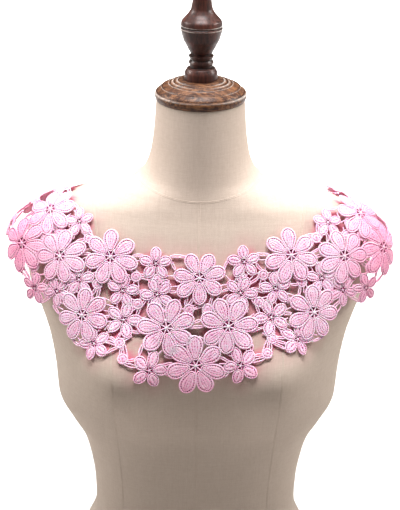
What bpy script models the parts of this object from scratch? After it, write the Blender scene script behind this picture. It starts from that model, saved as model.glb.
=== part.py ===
"""A guipure lace neckline applique, worn by a linen-covered dress form with a turned wooden neck cap.

The lace is one curved openwork wall: flowers, discs and bars, laid out by angles seen from the middle of
the chest and carried outwards on to the form. The form is lofted through a table of level sections."""

import itertools
import math
from collections import defaultdict, namedtuple

import bmesh
import bpy
import numpy as np
from mathutils import Vector, geometry
from mathutils.bvhtree import BVHTree

# Driving dimensions, in metres. +Z is up, the front faces -Y, and the origin is under the middle of the base.
BOARD_THICKNESS = 0.012
BOARD_INSET = 0.004
TORSO_TOP = 0.6932
SEAM_GAP = 0.0003
RING_POINTS = 48

Look = namedtuple("Look", "name colour roughness")
LACE_MATERIAL = Look("lace", (0.87, 0.46, 0.62), 0.6)
LINEN = Look("linen", (0.60, 0.52, 0.43), 0.85)
WOOD = Look("dark_wood", (0.10, 0.045, 0.028), 0.3)
BOARD_WOOD = Look("base_wood", (0.10, 0.055, 0.035), 0.6)

# Level sections of the form, from the bottom edge to the top of the neck.
Section = namedtuple("Section", "height half_width front back squareness")
TORSO = [
    Section(0.0123, 0.146, 0.080, 0.092, 2.2),
    Section(0.0160, 0.153, 0.087, 0.099, 2.2),
    Section(0.0280, 0.158, 0.092, 0.104, 2.2),
    Section(0.0700, 0.161, 0.094, 0.109, 2.2),
    Section(0.1200, 0.153, 0.092, 0.104, 2.2),
    Section(0.1750, 0.130, 0.085, 0.086, 2.2),
    Section(0.2200, 0.1138, 0.079, 0.074, 2.2),
    Section(0.2500, 0.1148, 0.080, 0.073, 2.2),
    Section(0.2900, 0.1208, 0.083, 0.079, 2.25),
    Section(0.3120, 0.1272, 0.086, 0.084, 2.25),
    Section(0.3360, 0.1402, 0.090, 0.090, 2.3),
    Section(0.3650, 0.1530, 0.097, 0.097, 2.35),
    Section(0.4000, 0.1552, 0.102, 0.102, 2.4),
    Section(0.4420, 0.1615, 0.104, 0.105, 2.4),
    Section(0.4700, 0.1702, 0.101, 0.104, 2.35),
    Section(0.5050, 0.1820, 0.093, 0.100, 2.3),
    Section(0.5350, 0.1840, 0.083, 0.092, 2.2),
    Section(0.5650, 0.1740, 0.070, 0.079, 2.1),
    Section(0.5850, 0.1480, 0.061, 0.069, 2.0),
    Section(0.6020, 0.0930, 0.055, 0.061, 2.0),
    Section(0.6150, 0.0620, 0.0520, 0.0560, 2.0),
    Section(0.6350, 0.0520, 0.0495, 0.0510, 2.0),
    Section(0.6600, 0.0480, 0.0475, 0.0480, 2.0),
    Section(TORSO_TOP, 0.0455, 0.0455, 0.0455, 2.0),
]

# Rings of the torso's solid: closer together where the lace lies on it.
Band = namedtuple("Band", "top rings")
TORSO_BANDS = [Band(0.300, 9), Band(0.640, 24), Band(TORSO_TOP, 3)]

# The two rounds of the bust, each a soft swell pushed forwards out of the sections.
BUST_HEIGHT = 0.425
BUST_SPACING = 0.170
BUST_SWELL = 0.034
BUST_SPREAD = 0.052
BUST_RISE_ABOVE = 0.048
BUST_RISE_BELOW = 0.062

# Profiles of the turned wood, from the bottom up.
Ring = namedtuple("Ring", "height radius")
NECK_CAP = [
    Ring(0.6935, 0.0455),
    Ring(0.6960, 0.0468),
    Ring(0.6990, 0.0471),
    Ring(0.7015, 0.0460),
    Ring(0.7050, 0.0440),
    Ring(0.7085, 0.0392),
    Ring(0.7092, 0.0380),
    Ring(0.7110, 0.0330),
    Ring(0.7118, 0.0298),
    Ring(0.7125, 0.0290),
    Ring(0.7138, 0.0240),
    Ring(0.7145, 0.0180),
]
FINIAL = [
    Ring(0.7148, 0.0170),
    Ring(0.7202, 0.0169),
    Ring(0.7262, 0.0145),
    Ring(0.7275, 0.0114),
    Ring(0.7295, 0.0118),
    Ring(0.7320, 0.0128),
    Ring(0.7340, 0.0120),
    Ring(0.7355, 0.0112),
    Ring(0.7370, 0.0120),
    Ring(0.7390, 0.0129),
    Ring(0.7404, 0.0112),
    Ring(0.7412, 0.0102),
    Ring(0.7425, 0.0113),
    Ring(0.7467, 0.0138),
    Ring(0.7510, 0.0159),
    Ring(0.7552, 0.0182),
    Ring(0.7600, 0.0197),
    Ring(0.7640, 0.0206),
    Ring(0.7674, 0.0214),
    Ring(0.7690, 0.0204),
    Ring(0.7712, 0.0211),
    Ring(0.7743, 0.0203),
    Ring(0.7786, 0.0169),
    Ring(0.7828, 0.0133),
    Ring(0.7871, 0.0110),
    Ring(0.7998, 0.0091),
    Ring(0.8150, 0.0078),
    Ring(0.8220, 0.0080),
    Ring(0.8260, 0.0102),
    Ring(0.8310, 0.0120),
    Ring(0.8360, 0.0122),
    Ring(0.8410, 0.0109),
    Ring(0.8450, 0.0082),
    Ring(0.8475, 0.0040),
]
CAP_SIDES = 36
FINIAL_SIDES = 20

# The surface that the lace keeps to: it spans the valley of the bust and stands off the shoulder points.
CHEST_CENTRE = Vector((0, 0, 0.46))
LAYOUT_RADIUS = 0.15
DEGREE = math.radians(1) * LAYOUT_RADIUS
LACE_CLEARANCE = 0.0006
LEAST_CLEARANCE = 0.0003
LIFT_ROUNDS = 4
LIFT_SPLITS = 4
LACE_THICKNESS = 0.0017
PETAL_SWELL = 0.0014
DRAPE_BLEND = 0.006
FRAME_STEP = 0.004
DRAPE = [
    Section(0.3300, 0.1460, 0.112, 0.080, 2.9),
    Section(0.3800, 0.1580, 0.125, 0.090, 2.9),
    Section(0.4200, 0.1660, 0.122, 0.095, 2.8),
    Section(0.4600, 0.1870, 0.112, 0.098, 2.5),
    Section(0.4950, 0.2020, 0.1000, 0.098, 2.3),
    Section(0.5250, 0.2080, 0.0880, 0.093, 2.2),
    Section(0.5500, 0.2040, 0.0780, 0.085, 2.1),
    Section(0.5750, 0.1800, 0.0665, 0.074, 2.0),
    Section(0.5930, 0.1400, 0.0590, 0.067, 2.0),
    Section(0.6080, 0.0850, 0.0540, 0.060, 2.0),
    Section(0.6300, 0.0520, 0.0500, 0.052, 2.0),
]
DRAPE_BANDS = [Band(DRAPE[-1].height, 90)]
DRAPE_RING_POINTS = 160
STEEPEST_SHARE = 0.4

# The kinds of motif. Each petal widens from its valley to its side points and narrows to its end points.
Kind = namedtuple("Kind", "petals valley side_reach side_width end_reach end_width tip crests grooves")
KINDS = {
    "large": Kind(7, 0.0178, 0.0240, 0.0081, 0.0298, 0.0042, 0.0310, (0.0150, 0.0245), (0.0110,)),
    "small": Kind(5, 0.0078, 0.0125, 0.0056, 0.0182, 0.0036, 0.0190, (0.0120,), ()),
}
HUB_SHARE = 0.13
DISC_RADIUS = 0.0049
DISC_SIDES = 8

# Where the motifs lie, in degrees round from the front and up from the level of the middle of the chest.
# A turn counts from a petal that points up, outwards. Each row of the sides is made on both of them.
Motif = namedtuple("Motif", "kind round rise turn size")
MIDDLE_MOTIFS = [
    Motif("large", 0, -7, 0, 1.00),
    Motif("large", 0, 39.5, 25, 0.90),
]
SIDE_MOTIFS = [
    Motif("large", 17, 12.5, 38, 0.97),
    Motif("large", 52, 37.5, 21, 0.92),
    Motif("large", 53.5, 12, 11, 0.95),
    Motif("large", 67.5, 28, 15, 0.92),
    Motif("large", 79, 24, 38, 0.95),
    Motif("large", 80.5, 36, 20, 0.90),
    Motif("large", 103, 30, 8, 0.92),
    Motif("small", 21.5, -6.5, 59, 1.05),
    Motif("small", 25, 29, 31, 0.96),
    Motif("small", 29.5, 43, 9, 0.92),
    Motif("small", 37.5, 14, 67, 1.00),
    Motif("small", 42, 26.5, 7, 0.94),
    Motif("small", 45.5, 2.5, 30, 0.97),
    Motif("small", 59, 24, 20, 0.90),
    Motif("small", 64, 17, 50, 0.90),
    Motif("small", 69.5, 40.5, 46, 0.86),
    Motif("small", 71, 14.5, 0, 0.88),
    Motif("small", 74, 33, 10, 0.86),
    Motif("small", 92, 24, 30, 0.92),
    Motif("small", 97, 41, 12, 0.90),
    Motif("disc", 5.5, 23, 0, 1),
    Motif("disc", 26.5, 36.5, 0, 1),
    Motif("disc", 32, -1, 0, 1),
    Motif("disc", 33.5, 22.5, 0, 1),
    Motif("disc", 35.5, 4.5, 0, 1),
    Motif("disc", 38, 34.5, 0, 1),
    Motif("disc", 52.5, 25.5, 0, 1),
    Motif("disc", 63, 38.5, 0, 1),
    Motif("disc", 73, 20.5, 0, 1),
    Motif("disc", 91, 33, 0, 1),
]

# The lace was laid on by hand, a little askew. These are degrees, on shares of ASKEW_ROUND and ASKEW_RISE.
Askew = namedtuple("Askew", "even rising round_squared round_cubed")
Tilt = namedtuple("Tilt", "round round_rising round_cubed")
ASKEW_TURN = Askew(0.20, 0.67, 0.42, 0.25)
ASKEW_TILT = Tilt(1.67, -0.67, -0.79)
ASKEW_ROUND = 50
ASKEW_RISE = 20
ASKEW_LEVEL = 20
ASKEW_FURTHEST = 80

# Bars join what lies close together, and gaps too small to be cut are filled.
BAR_WIDTH = 0.0015
BAR_LEAST_SIDE = 0.0003
BAR_SHORTEST = 0.0015
BAR_LONGEST = 0.0130
BAR_SPACING = 0.0055
BAR_TEST_SHARES = (0.08, 0.3, 0.5, 0.7, 0.92)
SMALL_GAP_AREA = 1.4e-5
MERGE_DISTANCE = 2e-5

# The cut between the front of the lace and each arm winds down between the flowers, in degrees round and up.
ARM_MOTIF = SIDE_MOTIFS[3]
SEAM_ROUTE = [
    (41, 62),
    (41, 44),
    (42.5, 34),
    (48.8, 29),
    (48.3, 22),
    (43.8, 15),
    (40.2, 8),
    (38.8, 0),
    (38, -18),
]


def smooth_column(keys, values, at):
    """Values between the rows of a table, on a curve that never overshoots a row."""
    keys, values, at = (np.asarray(a, float) for a in (keys, values, at))
    steps = np.diff(keys)
    slopes = np.diff(values) / steps
    tangents = np.zeros(len(keys))
    for i in range(1, len(keys) - 1):
        before, after = slopes[i - 1], slopes[i]
        if before * after > 0:
            weight_a = 2 * steps[i] + steps[i - 1]
            weight_b = steps[i] + 2 * steps[i - 1]
            tangents[i] = (weight_a + weight_b) / (weight_a / before + weight_b / after)
    tangents[0], tangents[-1] = slopes[0], slopes[-1]
    row = np.clip(np.searchsorted(keys, at, side="right") - 1, 0, len(keys) - 2)
    span = steps[row]
    t = (at - keys[row]) / span
    return (
        (1 + 2 * t) * (1 - t) ** 2 * values[row]
        + t * (1 - t) ** 2 * span * tangents[row]
        + t * t * (3 - 2 * t) * values[row + 1]
        + t * t * (t - 1) * span * tangents[row + 1]
    )


def levels_of(table, bands):
    """Sections at even steps along the table's outline within each band of heights."""
    outline = np.array([(row.half_width, row.height) for row in table])
    along = np.concatenate([[0], np.cumsum(np.linalg.norm(np.diff(outline, axis=0), axis=1))])
    at = [np.zeros(1)]
    for band in bands:
        end = np.interp(band.top, outline[:, 1], along)
        at.append(np.linspace(at[-1][-1], end, band.rings + 1)[1:])
    at = np.concatenate(at)
    columns = [smooth_column(along, [row[i] for row in table], at) for i in range(len(Section._fields))]
    return [Section(*row) for row in zip(*columns)]


def bust_swell(x, height):
    """How far the bust stands out of the section at this place."""
    rise = BUST_RISE_ABOVE if height > BUST_HEIGHT else BUST_RISE_BELOW
    up = (height - BUST_HEIGHT) / rise
    swell = 0.0
    for side in (-1, 1):
        across = (x - side * BUST_SPACING / 2) / BUST_SPREAD
        swell += math.exp(-(across**2 + up**2))
    return BUST_SWELL * swell


def ring_of(section, count, bust):
    """One level ring of points, counted round from the front towards +X."""
    points = []
    for i in range(count):
        turn = 2 * math.pi * i / count
        sine, cosine = math.sin(turn), math.cos(turn)
        power = 2 / section.squareness
        x = section.half_width * math.copysign(abs(sine) ** power, sine)
        depth = section.front if cosine > 0 else section.back
        y = -depth * math.copysign(abs(cosine) ** power, cosine)
        if bust and cosine > 0:
            y -= bust_swell(x, section.height) * cosine ** 0.5
        points.append((x, y, section.height))
    return points


def ring_faces(rings, count):
    """Faces of a closed form of stacked rings, with flat ends."""
    faces = [list(range(count))[::-1]]
    for low in range(0, (rings - 1) * count, count):
        for i in range(count):
            after = (i + 1) % count
            faces.append([low + i, low + after, low + after + count, low + i + count])
    faces.append([(rings - 1) * count + i for i in range(count)])
    return faces


def loft(table, bands, count, bust):
    """Points and faces of a closed form through a table of sections."""
    sections = levels_of(table, bands)
    points = [p for section in sections for p in ring_of(section, count, bust)]
    return points, ring_faces(len(sections), count)


class Drape:
    """The surface that the lace's inner face keeps to, met by lines from the middle of the chest."""

    def __init__(self, torso):
        corners = [vertex.co for vertex in torso.data.vertices]
        self.body = BVHTree.FromPolygons(corners, [face.vertices for face in torso.data.polygons])
        self.outer = BVHTree.FromPolygons(*loft(DRAPE, DRAPE_BANDS, DRAPE_RING_POINTS, bust=False))

    def point(self, place):
        """The surface point at a place: (angle round, angle up), both times LAYOUT_RADIUS."""
        direction = direction_of(place)
        _, normal, _, body_radius = self.body.ray_cast(CHEST_CENTRE, direction)
        body_radius += LACE_CLEARANCE / max(STEEPEST_SHARE, normal.dot(direction))
        outer_radius = self.outer.ray_cast(CHEST_CENTRE, direction)[3] or 0.0
        apart = math.hypot(body_radius - outer_radius, DRAPE_BLEND)
        blended = (body_radius + outer_radius + apart - DRAPE_BLEND) / 2
        return CHEST_CENTRE + direction * max(body_radius, blended)

    def frame(self, place):
        """(point, rightwards, upwards, outwards) at a place, as seen from outside."""
        step = FRAME_STEP
        point = self.point(place)
        across = self.point((place[0] + step, place[1])) - self.point((place[0] - step, place[1]))
        up = self.point((place[0], place[1] + step)) - self.point((place[0], place[1] - step))
        outwards = across.cross(up).normalized()
        up = up.normalized()
        return point, up.cross(outwards), up, outwards


def direction_of(place):
    """The way from the middle of the chest to a place of the lay-out."""
    turn, rise = place[0] / LAYOUT_RADIUS, place[1] / LAYOUT_RADIUS
    level = math.cos(rise)
    return Vector((math.sin(turn) * level, -math.cos(turn) * level, math.sin(rise)))


def worn_place(turn, rise):
    """The place of the lay-out where degrees round and up on the even lace lie once it is worn."""
    across = max(-ASKEW_FURTHEST, min(ASKEW_FURTHEST, turn)) / ASKEW_ROUND
    above = (rise - ASKEW_LEVEL) / ASKEW_RISE
    turn += ASKEW_TURN.even + ASKEW_TURN.rising * above
    turn += ASKEW_TURN.round_squared * across**2 + ASKEW_TURN.round_cubed * across**3
    rise += ASKEW_TILT.round * across + ASKEW_TILT.round_rising * across * above
    rise += ASKEW_TILT.round_cubed * across**3
    return (turn * DEGREE, rise * DEGREE)


def place_of(point):
    """The place of the lay-out that a point lies behind or in front of."""
    way = (point - CHEST_CENTRE).normalized()
    return (math.atan2(way.x, -way.y) * LAYOUT_RADIUS, math.asin(way.z) * LAYOUT_RADIUS)


class Placed:
    """A motif set on the drape: its outline, its inner points and how far its petals swell."""

    def __init__(self, drape, motif, side):
        self.motif = motif
        place = worn_place(side * motif.round, motif.rise)
        self.centre, self.right, self.up, _ = drape.frame(place)
        self.turn = side * math.radians(motif.turn)
        self.outline = [self.to_layout(p) for p in motif_outline(motif)]
        self.inner = [self.to_layout(p) for p in motif_inner_points(motif)]
        self.reach = motif.size * (DISC_RADIUS if motif.kind == "disc" else KINDS[motif.kind].tip)

    def to_layout(self, local):
        """From (clockwise angle, distance) on the motif to a place of the lay-out."""
        angle, distance = local[0] + self.turn, local[1]
        return place_of(self.centre + (self.right * math.sin(angle) + self.up * math.cos(angle)) * distance)

    def swell(self, point):
        """How far the petals stand out at this point, from none to all of PETAL_SWELL."""
        offset = point - self.centre
        x, y = offset.dot(self.right), offset.dot(self.up)
        distance = math.hypot(x, y) / self.motif.size
        if self.motif.kind == "disc":
            return PETAL_SWELL * max(0.0, 1 - (distance / DISC_RADIUS) ** 2)
        kind = KINDS[self.motif.kind]
        step = math.tau / kind.petals
        angle = math.remainder(math.atan2(x, y) - self.turn, step)
        along, across = distance * math.cos(angle), distance * math.sin(angle)
        start = HUB_SHARE * kind.tip
        if not start < along < kind.tip:
            return 0.0
        width = kind.side_width * math.sin(math.pi * (along - start) / (kind.tip - start)) ** 0.5
        return PETAL_SWELL * max(0.0, 1 - (across / width) ** 2)


def motif_outline(motif):
    """Points round a motif, anticlockwise as seen from outside, as (clockwise angle, distance)."""
    if motif.kind == "disc":
        return [(-math.tau * i / DISC_SIDES, DISC_RADIUS * motif.size) for i in range(DISC_SIDES)]
    kind = KINDS[motif.kind]
    step = math.tau / kind.petals
    ends = [(kind.side_reach, kind.side_width), (kind.end_reach, kind.end_width)]
    rim = [(math.atan2(-width, reach), math.hypot(reach, width)) for reach, width in ends]
    petal = [(-step / 2, kind.valley)] + rim + [(-angle, distance) for angle, distance in rim[::-1]]
    return [
        (step * number + angle, distance * motif.size)
        for number in reversed(range(kind.petals))
        for angle, distance in reversed(petal)
    ]


def motif_inner_points(motif):
    """The hub, the crest of each petal and the grooves between the petals."""
    if motif.kind == "disc":
        return [(0, 0)]
    kind = KINDS[motif.kind]
    step = math.tau / kind.petals
    points = [(0, 0)]
    for number in range(kind.petals):
        points += [(step * number, distance) for distance in kind.crests]
        points += [(step * (number + 0.5), distance) for distance in kind.grooves]
    return [(angle, distance * motif.size) for angle, distance in points]


def inside(outline, place):
    """Whether a place of the lay-out lies within a closed outline."""
    within = False
    for (ax, ay), (bx, by) in zip(outline, outline[1:] + outline[:1]):
        if (ay > place[1]) != (by > place[1]) and place[0] < ax + (place[1] - ay) * (bx - ax) / (by - ay):
            within = not within
    return within


def share_way(a, b, share):
    """The place part of the way from one place to another."""
    return (a[0] + (b[0] - a[0]) * share, a[1] + (b[1] - a[1]) * share)


def plan_bars(drape, placed):
    """The bars of the lace, as the roots of both ends: the shortest first, and none that crosses another."""
    points = [[drape.point(place) for place in item.outline] for item in placed]
    joins = []
    for a, b in itertools.combinations(range(len(placed)), 2):
        apart = (placed[a].centre - placed[b].centre).length - placed[a].reach - placed[b].reach
        if apart > BAR_LONGEST:
            continue
        for (i, start), (j, end) in itertools.product(enumerate(points[a]), enumerate(points[b])):
            length = (start - end).length
            if BAR_SHORTEST < length < BAR_LONGEST:
                joins.append((length, a, i, b, j))
    bars, middles, used = [], [], set()
    for _, a, i, b, j in sorted(joins):
        start, end = placed[a].outline[i], placed[b].outline[j]
        middle = (points[a][i] + points[b][j]) / 2
        if (a, i) in used or (b, j) in used:
            continue
        if any((middle - other).length < BAR_SPACING for other in middles):
            continue
        if any(geometry.intersect_line_line_2d(start, end, bar[0][1], bar[1][1]) for bar in bars):
            continue
        near = [item for item in placed if (item.centre - middle).length < item.reach + BAR_LONGEST / 2]
        tests = [share_way(start, end, share) for share in BAR_TEST_SHARES]
        if any(inside(item.outline, place) for item in near for place in tests):
            continue
        roots = bar_root(drape, placed[a].outline, i), bar_root(drape, placed[b].outline, j)
        if not runs_clear(*roots):
            continue
        bars.append(roots)
        middles.append(middle)
        used.update([(a, i), (b, j)])
    return bars


def bar_outline(start, end):
    """A bar between two outline corners, along whose edges its ends lie."""
    (before_start, at_start, after_start), (before_end, at_end, after_end) = start, end
    return [before_start, after_end, at_end, before_end, after_start, at_start]


def runs_clear(start, end):
    """Whether the corners at both ends of a bar lie on their own side, so that its edges never cross."""
    way = Vector(end[1]) - Vector(start[1])
    least = BAR_LEAST_SIDE * way.length
    lefts = [way.cross(Vector(root[i]) - Vector(root[1])) for root, i in ((start, 2), (end, 0))]
    rights = [way.cross(Vector(root[i]) - Vector(root[1])) for root, i in ((start, 0), (end, 2))]
    return min(lefts) > least and max(rights) < -least


def bar_root(drape, outline, number):
    """The places just before, at and just after a corner of an outline, half a bar's width apart."""
    corner = outline[number]
    here = drape.point(corner)
    root = [corner]
    for other in (outline[number - 1], outline[(number + 1) % len(outline)]):
        share = BAR_WIDTH / 2 / (drape.point(other) - here).length
        root.append(share_way(corner, other, share))
    return root[1], root[0], root[2]


def seam_outline(side):
    """The thin cut between the front and an arm of the lace, as a closed outline."""
    route = [Vector(worn_place(side * turn, rise)) for turn, rise in SEAM_ROUTE]
    halves = []
    for before, after in zip(route[:1] + route[:-1], route[1:] + route[-1:]):
        halves.append((after - before).orthogonal().normalized() * SEAM_GAP / 2)
    down = [tuple(point - half) for point, half in zip(route, halves)]
    back_up = [tuple(point + half) for point, half in zip(route[::-1], halves[::-1])]
    return down + back_up


class LaceNet:
    """The flat lay-out of the whole lace, cut into triangles that are lace, gap or seam."""

    def __init__(self, outlines, seams, inner_points):
        coords, faces = [], []
        for outline in outlines + seams:
            faces.append(list(range(len(coords), len(coords) + len(outline))))
            coords += outline
        coords += inner_points
        first_seam = len(outlines)
        result = geometry.delaunay_2d_cdt([Vector(c) for c in coords], [], faces, 0, MERGE_DISTANCE, True)
        self.places, _, self.triangles, _, _, sources = result
        self.seam = [any(source >= first_seam for source in found) for found in sources]
        self.lace = [bool(found) and not cut for found, cut in zip(sources, self.seam)]
        self.by_edge = defaultdict(list)
        self.by_corner = defaultdict(list)
        for number, triangle in enumerate(self.triangles):
            for a, b in corner_pairs(triangle):
                self.by_edge[min(a, b), max(a, b)].append(number)
            for corner in triangle:
                self.by_corner[corner].append(number)

    def area(self, numbers):
        """The area of some triangles of the lay-out."""
        corners = [[self.places[c] for c in self.triangles[number]] for number in numbers]
        return sum(geometry.area_tri(*[p.to_3d() for p in three]) for three in corners)

    def patches(self, chosen):
        """Groups of chosen triangles that meet along edges."""
        left, found = set(chosen), []
        while left:
            patch, ahead = [], [left.pop()]
            while ahead:
                number = ahead.pop()
                patch.append(number)
                for pair in corner_pairs(self.triangles[number]):
                    for other in self.by_edge[min(pair), max(pair)]:
                        if other in left:
                            left.remove(other)
                            ahead.append(other)
            found.append(patch)
        return found

    def fill_small_gaps(self):
        """Make lace of each closed gap that is too small to be cut."""
        gaps = [n for n in range(len(self.triangles)) if not self.lace[n] and not self.seam[n]]
        for patch in self.patches(gaps):
            if self.area(patch) < SMALL_GAP_AREA:
                for number in patch:
                    self.lace[number] = True

    def join_at_corners(self):
        """Where two pieces of lace meet at one corner only, fill the smaller gap between them."""
        again = True
        while again:
            again = False
            for around in self.by_corner.values():
                lace = [n for n in around if self.lace[n]]
                if len(self.patches(lace)) < 2:
                    continue
                gaps = self.patches([n for n in around if not self.lace[n] and not self.seam[n]])
                for number in min(gaps, key=self.area, default=[]):
                    self.lace[number] = True
                    again = True

    def piece_with(self, place):
        """The piece of lace that covers a place."""
        for patch in self.patches([n for n, is_lace in enumerate(self.lace) if is_lace]):
            for number in patch:
                if geometry.intersect_point_tri_2d(place, *[self.places[c] for c in self.triangles[number]]):
                    return patch
        raise ValueError("no lace there")


def corner_pairs(corners):
    """The edges of a face, in order."""
    return list(zip(corners, corners[1:] + corners[:1]))


def lift_clear(drape, points, ways, triangles):
    """Move points outwards until places spread over their faces clear the form too."""
    splits = range(LIFT_SPLITS + 1)
    shares = [(i, j, LIFT_SPLITS - i - j) for i in splits for j in splits if i + j <= LIFT_SPLITS]
    for _ in range(LIFT_ROUNDS):
        lifts = [0.0] * len(points)
        for triangle in triangles:
            a, b, c = (points[corner] for corner in triangle)
            for i, j, k in shares:
                tested = (a * i + b * j + c * k) / LIFT_SPLITS
                nearest, normal, _, _ = drape.body.find_nearest(tested)
                short = LEAST_CLEARANCE - (tested - nearest).dot(normal)
                for corner in triangle:
                    lifts[corner] = max(lifts[corner], short)
        points = [point + way * lift for point, way, lift in zip(points, ways, lifts)]
    return points


def lace_wall(name, net, piece, drape, placed):
    """A closed wall over some triangles of the lay-out: plain inside, with swelling petals outside."""
    triangles = [net.triangles[number] for number in piece]
    corners = sorted({corner for triangle in triangles for corner in triangle})
    index = {corner: i for i, corner in enumerate(corners)}
    triangles = [[index[c] for c in triangle] for triangle in triangles]
    frames = [drape.frame(net.places[corner]) for corner in corners]
    ways = [out for _, _, _, out in frames]
    inner = lift_clear(drape, [point for point, _, _, _ in frames], ways, triangles)
    outer = []
    for point, way in zip(inner, ways):
        near = [item for item in placed if (item.centre - point).length < item.reach]
        swell = max([item.swell(point) for item in near], default=0.0)
        outer.append(point + way * (LACE_THICKNESS + swell))
    count = len(corners)
    edges = {pair for triangle in triangles for pair in corner_pairs(triangle)}
    rim = [(a, b) for a, b in edges if (b, a) not in edges]
    faces = [[c + count for c in triangle] for triangle in triangles]
    faces += [triangle[::-1] for triangle in triangles]
    faces += [[a, b, b + count, a + count] for a, b in sorted(rim)]
    return add_object(name, inner + outer, faces, LACE_MATERIAL)


def build_lace(torso):
    """The three stretches of the lace, on the form."""
    drape = Drape(torso)
    placed = [Placed(drape, motif, 1) for motif in MIDDLE_MOTIFS]
    placed += [Placed(drape, motif, side) for side in (1, -1) for motif in SIDE_MOTIFS]
    bars = [bar_outline(*bar) for bar in plan_bars(drape, placed)]
    outlines = [item.outline for item in placed] + bars
    inner_points = []
    for number, item in enumerate(placed):
        earlier = placed[:number]
        inner_points += [place for place in item.inner if not any(inside(e.outline, place) for e in earlier)]
    net = LaceNet(outlines, [seam_outline(1), seam_outline(-1)], inner_points)
    net.fill_small_gaps()
    net.join_at_corners()
    for name, side, motif in (
        ("lace_front", 1, MIDDLE_MOTIFS[0]),
        ("lace_left", 1, ARM_MOTIF),
        ("lace_right", -1, ARM_MOTIF),
    ):
        piece = net.piece_with(worn_place(side * motif.round, motif.rise))
        lace_wall(name, net, piece, drape, placed)


def turned(name, profile, sides, look):
    """A solid of turned wood from its profile, bottom to top, with flat ends."""
    points = [
        (row.radius * math.cos(math.tau * i / sides), row.radius * math.sin(math.tau * i / sides), row.height)
        for row in profile
        for i in range(sides)
    ]
    return add_object(name, points, ring_faces(len(profile), sides), look)


def build_board():
    """The wooden board that closes the bottom of the form, a little inside the cover's edge."""
    edge = TORSO[0]._replace(
        half_width=TORSO[0].half_width - BOARD_INSET,
        front=TORSO[0].front - BOARD_INSET,
        back=TORSO[0].back - BOARD_INSET,
    )
    rings = [edge._replace(height=height) for height in (0, BOARD_THICKNESS)]
    points = [point for ring in rings for point in ring_of(ring, RING_POINTS, bust=False)]
    return add_object("form_base", points, ring_faces(2, RING_POINTS), BOARD_WOOD)


def make_material(look):
    """A plain shiny or matt material in the look's colour."""
    material = bpy.data.materials.new(look.name)
    material.use_nodes = True
    shader = material.node_tree.nodes["Principled BSDF"]
    shader.inputs["Base Color"].default_value = (*look.colour, 1)
    shader.inputs["Roughness"].default_value = look.roughness
    shader.inputs["Metallic"].default_value = 0
    return material


def add_object(name, points, faces, look):
    """A named object with a mesh and a material of its own."""
    mesh = bpy.data.meshes.new(name)
    mesh.from_pydata([tuple(p) for p in points], [], faces)
    shape = bmesh.new()
    shape.from_mesh(mesh)
    bmesh.ops.triangulate(shape, faces=shape.faces)
    shape.to_mesh(mesh)
    shape.free()
    mesh.shade_smooth()
    mesh.set_sharp_from_angle(angle=math.radians(40))
    mesh.materials.append(make_material(look))
    thing = bpy.data.objects.new(name, mesh)
    bpy.context.scene.collection.objects.link(thing)
    return thing


def main():
    """Clear the scene and build every piece."""
    for thing in list(bpy.data.objects):
        bpy.data.objects.remove(thing)
    torso = add_object("form_torso", *loft(TORSO, TORSO_BANDS, RING_POINTS, bust=True), LINEN)
    build_board()
    turned("neck_cap", NECK_CAP, CAP_SIDES, WOOD)
    turned("finial", FINIAL, FINIAL_SIDES, WOOD)
    build_lace(torso)


if __name__ == "__main__":
    main()
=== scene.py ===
import itertools
import math

import bmesh
import bpy
import numpy as np
from mathutils import Matrix, Vector, geometry, kdtree
from mathutils.bvhtree import BVHTree


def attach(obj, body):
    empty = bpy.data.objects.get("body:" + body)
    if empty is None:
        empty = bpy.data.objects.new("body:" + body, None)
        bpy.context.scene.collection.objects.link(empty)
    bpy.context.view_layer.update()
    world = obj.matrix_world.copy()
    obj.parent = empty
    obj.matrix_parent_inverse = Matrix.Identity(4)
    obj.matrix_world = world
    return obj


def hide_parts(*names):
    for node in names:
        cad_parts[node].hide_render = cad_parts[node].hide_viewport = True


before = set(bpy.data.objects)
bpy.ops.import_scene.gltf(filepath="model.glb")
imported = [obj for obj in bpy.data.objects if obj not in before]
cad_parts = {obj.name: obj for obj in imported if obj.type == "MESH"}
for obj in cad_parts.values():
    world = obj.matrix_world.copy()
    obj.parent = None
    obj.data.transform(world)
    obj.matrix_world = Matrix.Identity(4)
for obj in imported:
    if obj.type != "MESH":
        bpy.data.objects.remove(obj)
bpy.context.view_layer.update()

scene = bpy.context.scene
mm = 0.001
print("frame loaded")


# small helpers

def linear(code):  # colour written as a web code, turned into the shader's linear numbers
    parts = [int(code[i:i + 2], 16) / 255 for i in (0, 2, 4)]
    return tuple(c / 12.92 if c <= 0.04045 else ((c + 0.055) / 1.055) ** 2.4 for c in parts) + (1.0,)


def addObject(name, data):
    thing = bpy.data.objects.new(name, data)
    scene.collection.objects.link(thing)
    return thing


def meshFrom(name, points, faces=(), edges=()):
    mesh = bpy.data.meshes.new(name)
    mesh.from_pydata([tuple(p) for p in points], list(edges), [tuple(f) for f in faces])
    mesh.update()
    return mesh


def meshOfLines(name, lines):  # runs of points, each joined by edges
    points = [point for line in lines for point in line]
    ends = set(itertools.accumulate(len(line) for line in lines))
    return meshFrom(name, points, edges=[(i, i + 1) for i in range(len(points) - 1) if i + 1 not in ends])


def setPointValues(mesh, name, values, kind="FLOAT"):
    field = "vector" if kind == "FLOAT_VECTOR" else "value"
    mesh.attributes.new(name, kind, "POINT").data.foreach_set(field, values)


def wallFaces(rings, count):  # four-sided faces between rings of points
    return [(low + i, low + (i + 1) % count, low + (i + 1) % count + count, low + i + count)
            for low in range(0, (rings - 1) * count, count) for i in range(count)]


def wallUvs(rings, count, uvOf):  # for the faces that start at these rings; the place runs on past the join
    return [uvOf(*corner) for ring in rings for i in range(count)
            for corner in ((ring, i), (ring, i + 1), (ring + 1, i + 1), (ring + 1, i))]


def endFaces(rings, count):  # the bottom, then the top
    return [tuple(range(count))[::-1], tuple(range((rings - 1) * count, rings * count))]


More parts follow.
